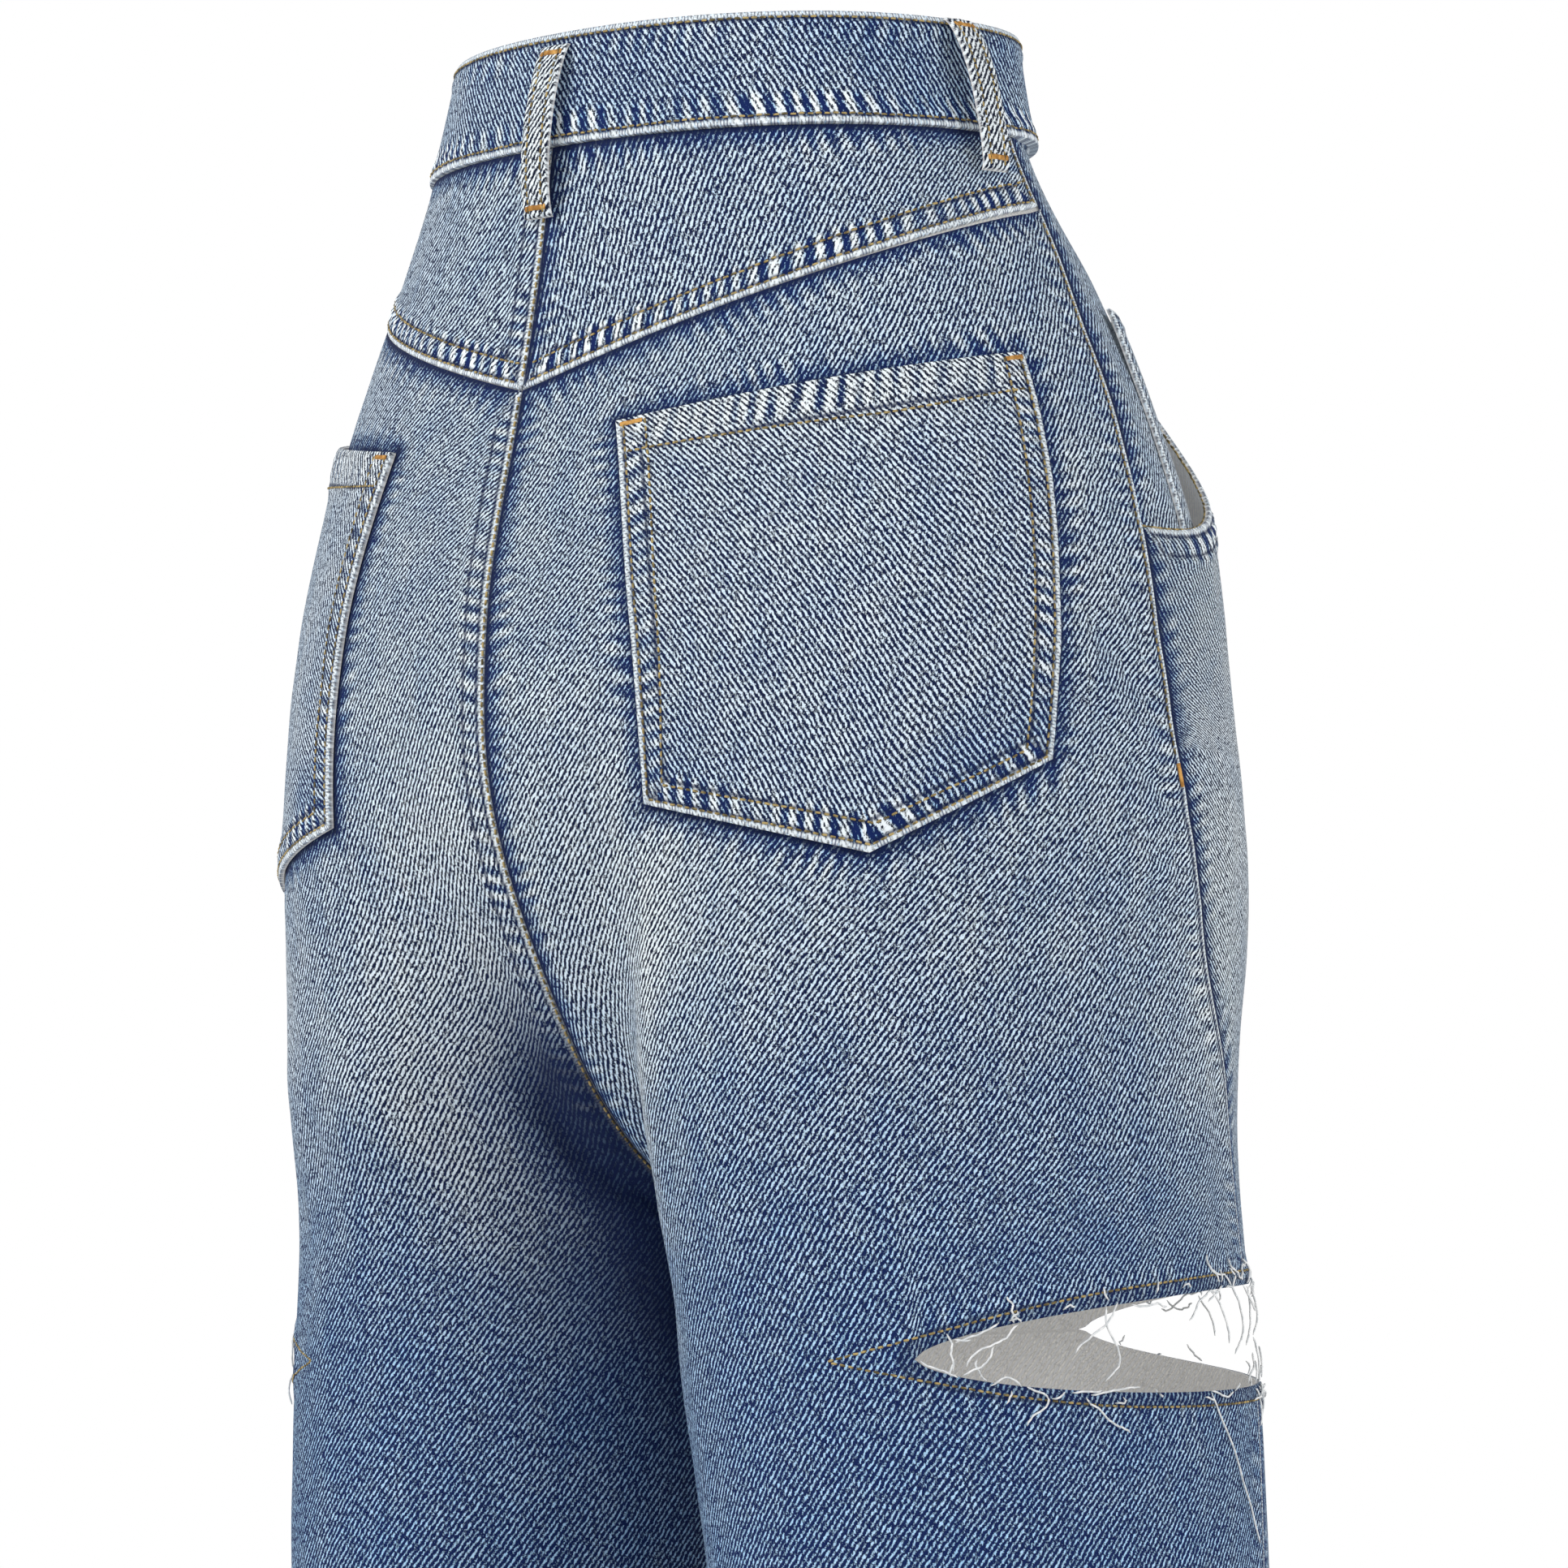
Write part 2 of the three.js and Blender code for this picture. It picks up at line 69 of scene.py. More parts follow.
# z, and the station of the side seam
SIDE_SEAM = [
    (20, -0.09), (-50, -0.06), (-110, -0.01), (-200, -0.005), (-255, -0.045), (-300, -0.09),
    (-345, -0.17), (-440, -0.19), (-640, -0.16), (-1020, -0.1),
]
RIGHT, LEFT = -1, 1
SIDES = {"right": RIGHT, "left": LEFT}
GIRTH = 240.0           # mm round the cloth for each 1 of station, near enough
LEG_GIRTH = 270.0       # the same, at the slash
YOKE_SIDE = -48.0       # height of the yoke's lower edge at the side
CENTRE = 0.9995         # station of a line along the centre
# Folds: side, from station and height, to station and height, reach, rise. The first four are
# the CAD part's; the rest are small ones that lie on them.
FOLDS = [
    (RIGHT, 0.72, -275, 0.67, -400, 16, 4), (RIGHT, 0.88, -330, 0.72, -425, 14, -3),
    (LEFT, 0.78, -335, 0.88, -432, 15, 5), (LEFT, 0.62, -300, 0.5, -410, 18, 3),
    (RIGHT, 0.14, -134, 0.02, -152, 5, -1.6), (RIGHT, 0.16, -146, 0.03, -160, 5, 1.2),
    (RIGHT, 0.13, -186, 0.0, -222, 6, -2.2), (RIGHT, 0.17, -196, 0.02, -238, 7, 1.6),
    (RIGHT, 0.05, -236, -0.03, -256, 5, -1.8), (RIGHT, 0.1, -262, -0.05, -284, 7, 1.4),
    (RIGHT, 0.5, -292, 0.3, -345, 16, 1.6), (RIGHT, 0.36, -330, 0.16, -392, 14, -1.6),
    (RIGHT, 0.6, -340, 0.44, -420, 12, 1.5), (RIGHT, 0.5, -470, 0.42, -640, 18, 2.2),
    (RIGHT, 0.25, -480, 0.3, -760, 20, -2.0), (RIGHT, 0.75, -520, 0.68, -900, 22, 2.4),
    (LEFT, 0.93, -300, 0.8, -400, 12, -2.2), (LEFT, 0.5, -320, 0.36, -420, 16, -1.6),
    (LEFT, 0.3, -180, 0.1, -214, 6, -1.8), (LEFT, 0.6, -480, 0.55, -700, 18, 2.2),
    (LEFT, 0.35, -500, 0.3, -860, 22, -2.2), (LEFT, 0.8, -560, 0.74, -920, 20, 2.0),
    (RIGHT, -0.86, -330, -0.6, -395, 12, 2.2), (RIGHT, -0.9, -362, -0.66, -418, 11, -2.0),
    (LEFT, -0.86, -330, -0.6, -395, 12, 2.2), (LEFT, -0.9, -362, -0.66, -418, 11, -2.0),
    (RIGHT, -0.3, -560, -0.5, -700, 16, -2.2), (LEFT, -0.34, -590, -0.5, -740, 16, -2.2),
    (RIGHT, -0.6, -500, -0.62, -900, 20, 2.2), (LEFT, -0.58, -520, -0.62, -880, 20, 2.2),
]
SLASH = dict(tip_back=0.3, tip_front=-0.62, half=17.0, z=-432.0, swing=6.0, fullness=0.6)
MOUTH = dict(width=0.61, depth=138.0, squareness=0.8, gape=7.0)
BAND = dict(out=1.2, thickness=3.0, lap=0.1, ramp=0.3)
HIP_LEVELS = [BAND_BOTTOM, YOKE_SIDE, -90.0, -132.0, -158.0, -195.0, -232.0]


# ---- small maths -------------------------------------------------------------------------
def mix(a, b, t):
    return a + (b - a) * t


def smooth(v):
    t = np.clip(v, 0.0, 1.0)
    return t * t * (3 - 2 * t)


def bell(v):
    return np.exp(-np.square(v))


def column(table, index):
    """A smooth curve down one column of a table whose first column is z, from the top down."""
    z = np.array([row[0] for row in table], float)[::-1]
    value = np.array([row[index] for row in table], float)[::-1]
    gap = np.diff(z)
    slope = np.diff(value) / gap
    tangent = np.zeros(len(z))
    tangent[0], tangent[-1] = slope[0], slope[-1]
    for i in range(1, len(z) - 1):
        if slope[i - 1] * slope[i] > 0:
            middle = (slope[i - 1] * gap[i] + slope[i] * gap[i - 1]) / (gap[i - 1] + gap[i])
            limit = 3 * min(abs(slope[i - 1]), abs(slope[i]))
            tangent[i] = math.copysign(min(abs(middle), limit), middle)

    def curve(height):
        h = np.clip(height, z[0], z[-1])
        i = np.clip(np.searchsorted(z, h, side="right") - 1, 0, len(gap) - 1)
        t = (h - z[i]) / gap[i]
        return (
            (2 * t**3 - 3 * t**2 + 1) * value[i] + (t**3 - 2 * t**2 + t) * gap[i] * tangent[i]
            + (3 * t**2 - 2 * t**3) * value[i + 1] + (t**3 - t**2) * gap[i] * tangent[i + 1]
        )

    return curve


HIP_CURVES = [column(HIPS, k) for k in range(1, 5)]
LEG_CURVES = [column(LEG, k) for k in range(1, 5)]
side_curve = column(SIDE_SEAM, 1)


def side_seam(z):
    """The side seam's station. At the hips it is straight between the CAD rows."""
    levels = np.array(HIP_LEVELS[::-1])
    straight = np.interp(z, levels, side_curve(levels))
    between = (z >= levels[0]) & (z <= levels[-1])
    return np.where(between, straight, side_curve(z))


def form(s, z):
    """The wearer's right half of the form."""
    half, back, front, side = (curve(z) for curve in HIP_CURVES)
    outer, inner, depth, centre = (curve(z) for curve in LEG_CURVES)
    turn = s * math.pi / 2
    across = np.abs(np.cos(turn)) ** ROUNDNESS
    along = np.sign(turn) * np.abs(np.sin(turn)) ** ROUNDNESS
    hip_x = -half * across
    hip_y = side + np.where(s > 0, back, front) * along
    leg_x = -(outer + inner) / 2 - (outer - inner) / 2 * np.cos(s * math.pi)
    leg_y = centre + depth * np.sin(s * math.pi)
    q = np.clip((BLEND_TOP - z) / (BLEND_TOP - CROTCH), 0, 1)
    power = mix(SIDE_TURN, CENTRE_TURN, smooth((np.abs(s) - 0.5) / 0.5) ** 2)
    share = 1 - (1 - q**BLEND_POWER) ** power
    y = mix(hip_y, leg_y, share)
    lean = WAIST_LEAN * smooth((z + 150) / 130)
    return np.stack([mix(hip_x, leg_x, share), y, z - lean * y], -1)


def unit(v):
    return v / np.maximum(np.linalg.norm(v, axis=-1, keepdims=True), 1e-9)


def normal_at(s, z):
    ds, dz = 0.002, 0.5
    near = np.clip(s, -1 + ds, 1 - ds)
    along = form(near + ds, z) - form(near - ds, z)
    up = form(s, z + dz) - form(s, z - dz)
    return unit(np.cross(up, along))


def fold_rise(side, s, z):
    rise = np.zeros(np.broadcast(s, z).shape)
    for fold_side, s0, z0, s1, z1, reach, height in FOLDS:
        if fold_side != side:
            continue
        t = (z - z0) / (z1 - z0)
        away = (s - mix(s0, s1, np.clip(t, -0.2, 1.2))) * GIRTH
        rise += height * bell(away / reach) * bell((t - 0.5) / 0.45)
    return rise


def cloth(side, s, z, out=0.0, ends_at_centre=True):
    """Points of the cloth that stand out from the form. A half stops short of the centre line."""
    s, z = np.broadcast_arrays(np.asarray(s, float), np.asarray(z, float))
    lift = np.asarray(out) + fold_rise(side, s, z)
    points = form(s, z) + normal_at(s, z) * lift[..., None]
    if ends_at_centre:
        points[..., 0] = np.minimum(points[..., 0], -HALF_SEAM)
    points[..., 0] *= -side
    return points


def ring(r, z, out):
    """Points round the waist: r is 0 at the back centre, 1 and -1 at the right and left sides, and
    2 and -2 at the front centre, and may go on a little past it."""
    r, z, out = np.broadcast_arrays(*(np.asarray(v, float) for v in (r, z, out)))
    turn = np.where(np.abs(r) > 2, r - 4 * np.sign(r), r)
    s = 1 - np.abs(turn)
    right = cloth(RIGHT, s, z, out, False)
    left = cloth(LEFT, s, z, out, False)
    return np.where((turn > 0)[..., None], right, left)


def yoke_seam(s):
    return -(48 + 40 * s + 20 * s * s)


def slash_middle(s):
    return SLASH["z"] - SLASH["swing"] * np.sin(math.pi * s)


def slash_half(s):
    centre = (SLASH["tip_back"] + SLASH["tip_front"]) / 2
    reach = (SLASH["tip_back"] - SLASH["tip_front"]) / 2
    return SLASH["half"] * np.maximum(0, 1 - ((s - centre) / reach) ** 2) ** SLASH["fullness"]


WANDER_STEPS = 4096


def wander(t, seed, step):
    """A smooth random line, from -1 to 1, that changes about every step along t."""
    dice = np.random.default_rng(seed).uniform(-1, 1, WANDER_STEPS)
    x = np.abs(np.asarray(t)) / step
    i = np.floor(x).astype(int) % (WANDER_STEPS - 1)
    return mix(dice[i], dice[i + 1], smooth(x - np.floor(x)))


def tight(count, ends=(0.004, 0.012)):
    """Values from 0 to 1 with a few close together at both ends, for turned edges."""
    middle = np.linspace(ends[-1] * 2, 1 - ends[-1] * 2, count)
    start = np.array([0.0, *ends])
    return np.concatenate([start, middle, 1 - start[::-1]])


# ---- wash, painted shade and seams -------------------------------------------------------
SEAT_PALE, LEG_DEEPER = 0.62, 0.3
FADE = dict(top=-270, length=190)
# Where the wash has taken the blue out or left it, and where shade is painted: side, station,
# height, reach across and down in mm, and how much paler. A side of 0 is both. The darker
# spots at (LEFT, 0.95, -372), (LEFT, 0.9, -420) and (LEFT, 0.5, -250) are painted shade.
WASH_AND_SHADE = [
    (0, 0.9, -215, 95, 120, 0.06), (0, 0.45, -190, 70, 90, 0.02), (0, 0.5, -300, 70, 40, 0.06),
    (RIGHT, 0.12, -165, 20, 45, 0.10), (RIGHT, 0.7, -330, 14, 90, 0.26),
    (RIGHT, 0.85, -300, 34, 70, 0.12), (RIGHT, -0.12, -300, 18, 90, 0.22), (0, -0.3, -230, 40, 110, 0.2),
    (LEFT, 0.9, -270, 34, 50, 0.16), (LEFT, 0.78, -330, 26, 40, 0.16), (LEFT, 0.66, -355, 16, 60, 0.18),
    (LEFT, 0.95, -372, 30, 34, -0.35), (LEFT, 0.9, -420, 30, 50, -0.3), (LEFT, 0.35, -300, 30, 90, 0.12),
    (LEFT, 0.12, -430, 14, 400, 0.3), (RIGHT, 0.95, -440, 30, 60, 0.1), (0, -0.5, -480, 60, 150, 0.18),
    (LEFT, 0.55, -335, 24, 26, 0.12), (LEFT, 0.66, -372, 18, 34, 0.12), (LEFT, 0.76, -402, 16, 30, 0.2),
    (LEFT, 0.86, -424, 14, 26, 0.22), (LEFT, 0.5, -250, 50, 80, -0.12), (0, 0.3, -520, 80, 80, -0.06),
    (0, -0.5, -300, 60, 90, 0.16), (0, 0.5, -860, 120, 120, 0.1),
]
# Painted shade, darkest deep between the legs, as spots given in the same way, the last number saying how
# dark
BETWEEN_LEGS_SHADE = [
    (LEFT, 0.94, -364, 24, 36, 0.5), (LEFT, 0.97, -388, 36, 56, 0.6), (LEFT, 0.84, -382, 52, 56, 0.4),
    (LEFT, 1.0, -420, 50, 80, 0.6), (0, -1.0, -430, 26, 60, 0.6),
]


def wash_and_shade_at(side, s, z):
    """How pale the cloth is, from 0 to 1: pale over the seat, deeper down the legs, and darker
    where a few spots paint shade.
    """
    pale = SEAT_PALE - LEG_DEEPER * smooth((FADE["top"] - z) / FADE["length"]) + 0 * s
    return pale + spots(WASH_AND_SHADE, side, s, z)


def spots(places, side, s, z):
    """The sum of soft round spots."""
    total = 0 * s + 0 * z
    for where, s0, z0, across, down, more in places:
        if where in (0, side):
            total = total + more * bell((s - s0) * GIRTH / across) * bell((z - z0) / down)
    return total


def along_line(points):
    """Distance along a line of points, starting at 0."""
    gaps = np.linalg.norm(np.diff(points, axis=0), axis=-1)
    return np.concatenate([[0.0], np.cumsum(gaps)])


def place_at(points, length, at):
    """The places on a line of points at some distances along it."""
    return np.stack([np.interp(at, length, points[:, c]) for c in range(3)], -1)


NO_ROW = -9             # stands for a row that isn't there
# How an edge is sewn: how far its two rows of stitches are from it, whether it is a top layer,
# 1, or lies under one, -1, with a painted shadow beside that edge, and how strongly it gathers
SEWN = {
    "double": (2.7, 9.3, 1, 1.0), "flat": (2.7, 9.3, 1, 0.35), "single": (2.8, NO_ROW, 1, 0.2),
    "band": (2.8, NO_ROW, 1, 0.9), "hem": (NO_ROW, 13.2, 1, 0.6), "slash": (NO_ROW, 4.6, 1, 0.15),
    "under": (NO_ROW, NO_ROW, -1, 0.25),
}
PUCKER = dict(pitch=6.8, slant=0.25, end=13.0)
SEAM_APART = 700        # so that no two seams gather alike
SEAM_STEP = 2.0         # mm between the points that stand for a seam
AT_ONCE = 4000          # points of the cloth measured at a time


def seam_field(points, seams):
    """For each point of the cloth: how far along its nearest seam it is and how far from it, then
    how that seam is sewn."""
    flat = points.reshape(-1, 3)
    best = np.full(len(flat), 1e9)
    field = np.zeros((len(flat), 6))
    for k, (line, kind) in enumerate(seams):
        length = along_line(line)
        even = np.arange(0, length[-1], SEAM_STEP)
        line = place_at(line, length, even)
        for start in range(0, len(flat), AT_ONCE):
            part = slice(start, start + AT_ONCE)
            gap = flat[part, None, :] - line[None, :, :]
            square = np.einsum("abc,abc->ab", gap, gap)
            nearest = square.argmin(1)
            distance = np.sqrt(square[np.arange(len(nearest)), nearest])
            before = line[np.maximum(nearest - 1, 0)]
            after = line[np.minimum(nearest + 1, len(line) - 1)]
            step = np.einsum("ab,ab->a", flat[part] - line[nearest], unit(after - before))
            step = np.clip(step, -SEAM_STEP, SEAM_STEP)
            away = np.sqrt(np.maximum(distance**2 - step**2, 0))
            closer = away < best[part]
            best[part] = np.where(closer, away, best[part])
            values = np.zeros((len(away), 6))
            values[:, 0] = even[nearest] + step + SEAM_APART * k
            values[:, 1], values[:, 2:] = away, SEWN[kind]
            field[part] = np.where(closer[:, None], values, field[part])
    return field.reshape(points.shape[:-1] + (6,))


def pucker_at(t, d):
    """The gathers along a sewn edge, from -1 to 1. The denim's shader repeats this."""
    phase = 2 * math.pi * (t + PUCKER["slant"] * d) / PUCKER["pitch"]
    return np.sin(phase + 1.9 * np.sin(t / 8.3) + 1.4 * np.sin(t / 19)) * (0.65 + 0.35 * np.sin(t / 13.7))


def lap_relief(field):
    """How far a top layer stands up along its sewn edge, over its turned-in allowance."""
    t, d, first, second, layer, gathers = (field[..., k] for k in range(6))
    last = np.maximum(np.maximum(first, second), 4)
    turned = 0.8 * (1 - smooth((d - last - 1.5) / 3.5)) - 0.7 * bell(d / 0.7)
    stitched = -0.4 * bell((d - first) / 1.0) - 0.4 * bell((d - second) / 1.2)
    reach = smooth((d - 1.5) / 2) * (1 - smooth((d - PUCKER["end"] + 4) / 5))
    pucker = 0.45 * gathers * pucker_at(t, d) * reach
    under = 0.6 * gathers * pucker_at(t, d) * bell(d / 7) * smooth(d / 2)
    return np.where(layer > 0, turned + stitched + pucker, under)


# ---- meshes ------------------------------------------------------------------------------
def cloth_coordinates(points):
    """Millimetres across and up the cloth, as it lay flat, measured from the grid's middle."""
    across = np.linalg.norm(np.diff(points, axis=1), axis=-1)
    u = np.concatenate([np.zeros((len(points), 1)), np.cumsum(across, 1)], 1)
    middle = points.shape[1] // 2
    u = u - u[:, middle:middle + 1]
    v = -along_line(points[:, middle])
    return u, np.broadcast_to(v[:, None], u.shape)


def placed(name, data):
    """A new object in the scene."""
    thing = bpy.data.objects.new(name, data)
    bpy.context.scene.collection.objects.link(thing)
    return thing


def plain_piece(name, points, faces):
    """A smooth piece with points in mm."""
    mesh = bpy.data.meshes.new(name)
    mesh.from_pydata((np.array(points) * MM).tolist(), [], faces)
    mesh.shade_smooth()
    return placed(name, mesh)


def wall_mesh(name, outer, inner, fields, ids=None, open_cells=None, doubled=False):
    """A closed wall between two grids of points in mm. fields are what the material reads, each
    three numbers a point. ids may join points, and open_cells leaves cells out. A doubled cloth
    shows its right side on both."""
    rows, columns = outer.shape[:2]
    count = rows * columns
    ids = np.arange(count).reshape(rows, columns) if ids is None else ids
    keep = np.ones((rows - 1, columns - 1), bool) if open_cells is None else ~open_cells
    quads = np.stack([ids[:-1, :-1], ids[1:, :-1], ids[1:, 1:], ids[:-1, 1:]], -1)[keep]
    edges = np.concatenate([quads[:, [k, (k + 1) % 4]] for k in range(4)])
    edges = edges[edges[:, 0] != edges[:, 1]]
    keys = edges[:, 0] * count + edges[:, 1]
    rim = edges[~np.isin(keys, edges[:, 1] * count + edges[:, 0])]
    back = quads[:, ::-1] + count
    sides = np.stack([rim[:, 1], rim[:, 0], rim[:, 0] + count, rim[:, 1] + count], -1)
    faces = np.concatenate([quads, back, sides])
    points = np.concatenate([outer.reshape(-1, 3), inner.reshape(-1, 3)])
    a, b, c, d = (points[faces[:, k]] for k in range(4))
    volume = np.einsum("ab,ab->", a, np.cross(b, c)) + np.einsum("ab,ab->", a, np.cross(c, d))
    if volume < 0:
        faces = faces[:, ::-1]
    used, first = np.unique(faces, return_inverse=True)
    faces = first.reshape(faces.shape)
    mesh = bpy.data.meshes.new(name)
    polygons = [tuple(dict.fromkeys(face)) for face in faces.tolist()]
    mesh.from_pydata((points[used] * MM).tolist(), [], [p for p in polygons if len(p) > 2])
    for field_name, field in fields.items():
        both = np.concatenate([field.reshape(-1, 3), field.reshape(-1, 3)])
        if field_name == "wash_and_shade" and not doubled:
            both[count:, 1] = 1.0
        data = mesh.attributes.new(field_name, "FLOAT_VECTOR", "POINT")
        data.data.foreach_set("vector", both[used].astype(np.float32).ravel())
    mesh.shade_smooth()
    mesh.set_sharp_from_angle(angle=math.radians(55))
    return placed(f"{name}_cloth", mesh)


def finish_piece(piece, node, material):
    piece.data.materials.append(material)
    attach(piece, "root")
    if node:
        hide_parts(node)
    return piece


def cloth_fields(weave, wash_and_shade, field):
    """What the denim's material reads: the place in the weave, how pale the cloth is, with a few
    spots of painted shade, how much shade is painted on it, and how it is sewn. Without a seam's
    field, it lies far from any."""
    u, v = weave
    pale, shade = wash_and_shade
    if field is None:
        field = np.stack([v, 50 + 0 * u, NO_ROW + 0 * u, NO_ROW + 0 * u, 0 * u, 0 * u], -1)
    nought = 0 * u
    return {
        "weave": np.stack([u, v, nought], -1),
        "wash_and_shade": np.stack([pale + nought, nought, shade + nought], -1),
        "seam": field[..., [0, 1, 5]],
        "sewn": field[..., 2:5],
    }


def panel(name, side, s, z, seams, thickness=CLOTH, lift=0.0, ids=None, open_cells=None, grain=0.0):
    """A panel over the stations s and heights z of a grid, with its seams' relief. grain turns
    the weave, in degrees."""
    level = cloth(side, s, z)
    field = seam_field(level, seams)
    rough = 0.25 * wander(s * 900 + z * 0.6, 21, 26) + 0.2 * wander(z * 1.0 + s * 60, 22, 17)
    outer = cloth(side, s, z, lift + lap_relief(field) + rough * smooth(field[..., 1] / 12))
    inner = cloth(side, s, z, lift - thickness)
    u, v = cloth_coordinates(level)
    u = -u if side == RIGHT else u
    turned = math.radians(grain)
    weave = u * math.cos(turned) - v * math.sin(turned), u * math.sin(turned) + v * math.cos(turned)
    # how pale the cloth is, with a few spots of painted shade, then the painted shade between the legs
    wash_and_shade = wash_and_shade_at(side, s, z), np.clip(spots(BETWEEN_LEGS_SHADE, side, s, z), 0, 0.9)
    return wall_mesh(name, outer, inner, cloth_fields(weave, wash_and_shade, field), ids, open_cells)


# ---- materials ---------------------------------------------------------------------------
class Value:
    """A shader socket that takes part in sums."""

    def __init__(self, nodes, socket):
        self.nodes, self.socket = nodes, socket

    def __add__(self, other):
        return self.nodes.math("ADD", self, other)

    def __sub__(self, other):
        return self.nodes.math("SUBTRACT", self, other)

    def __mul__(self, other):
        return self.nodes.math("MULTIPLY", self, other)

    def __truediv__(self, other):
        return self.nodes.math("DIVIDE", self, other)


class Nodes:
    """A short way to write a shader: each call adds a node and returns its output."""

    def __init__(self, name):
        self.material = bpy.data.materials.new(name)
        self.material.use_nodes = True
        self.tree = self.material.node_tree
        self.shader = self.tree.nodes["Principled BSDF"]

    def add(self, kind, *inputs, output=0, **settings):
        node = self.tree.nodes.new(kind)
        for key, value in settings.items():
            setattr(node, key, value)
        for k, value in enumerate(inputs):
            self.put(value, node.inputs[k])
        return Value(self, node.outputs[output])

    def put(self, value, socket):
        if isinstance(value, Value):
            self.tree.links.new(value.socket, socket)
        else:
            socket.default_value = value

    def finish(self, **values):
        """Sets the surface's inputs, named with _ for a space, and returns the material."""
        for name, value in values.items():
            self.put(value, self.shader.inputs[name.replace("_", " ")])
        return self.material

    def math(self, operation, *inputs):
        return self.add("ShaderNodeMath", *inputs, operation=operation)

    def largest(self, first, *others):
        for other in others:
            first = self.math("MAXIMUM", first, other)
        return first

    def sine(self, value):
        return self.math("SINE", value)

    def attribute(self, name):
        vector = self.add("ShaderNodeAttribute", attribute_name=name, output="Vector")
        node = self.tree.nodes.new("ShaderNodeSeparateXYZ")
        self.put(vector, node.inputs[0])
        return [Value(self, socket) for socket in node.outputs]

    def join(self, x, y, z=0.0):
        return self.add("ShaderNodeCombineXYZ", x, y, z)

    def noise(self, vector, scale, detail=2.0, roughness=0.5):
        node = self.tree.nodes.new("ShaderNodeTexNoise")
        settings = {"Vector": vector, "Scale": scale, "Detail": detail, "Roughness": roughness}
        for name, value in settings.items():
            self.put(value, node.inputs[name])
        return Value(self, node.outputs[0])

    def step(self, value, low, high, start=0.0, end=1.0):
        """A smooth step of value, from low to high."""
        inputs = (value, low, high, start, end)
        return self.add("ShaderNodeMapRange", *inputs, interpolation_type="SMOOTHSTEP")

    def near(self, value, middle, reach):
        """1 where value is at middle, falling to 0 at reach away."""
        return self.step(self.math("ABSOLUTE", value - middle), 0.0, reach, 1.0, 0.0)

    def blend(self, share, a, b):
        node = self.tree.nodes.new("ShaderNodeMix")
        node.data_type = "RGBA"
        for socket, value in ((node.inputs[0], share), (node.inputs[6], a), (node.inputs[7], b)):
            self.put(value, socket)
        return Value(self, node.outputs[2])

    def bump(self, height, strength, distance):
        node = self.tree.nodes.new("ShaderNodeBump")
        for name, value in (("Strength", strength), ("Distance", distance), ("Height", height)):
            self.put(value, node.inputs[name])
        return Value(self, node.outputs[0])


def srgb(r, g, b):
    """A colour from 0-255 display values."""
    values = [v / 255 for v in (r, g, b)]
    return tuple(v / 12.92 if v <= 0.04045 else ((v + 0.055) / 1.055) ** 2.4 for v in values) + (1.0,)


# Denim's colours, from the deep valleys of the twill to its worn ridges
VALLEY, VALLEY_WORN = srgb(2, 30, 88), srgb(2, 14, 44)
RIDGE, RIDGE_WORN = srgb(160, 213, 255), srgb(242, 250, 255)
WRONG_SIDE, WRONG_LINE = srgb(236, 234, 230), srgb(206, 208, 212)
# NAVY is the colour of painted shade: along stitch rows, under a top layer's edge and between the legs;
# the slash's turned-in band takes it too
NAVY = srgb(5, 24, 66)
WRONG_SIDE_GLOW = 0.15    # painted glow: light the wrong side gives of its own, standing in for the daylight that comes through
TWILL_PITCH = 2.2       # mm between twill lines, across the cloth
TWILL_SLOPE = 1.35      # how steeply they rise
YARN_TICK = 1.15        # mm between the yarns that show along an edge


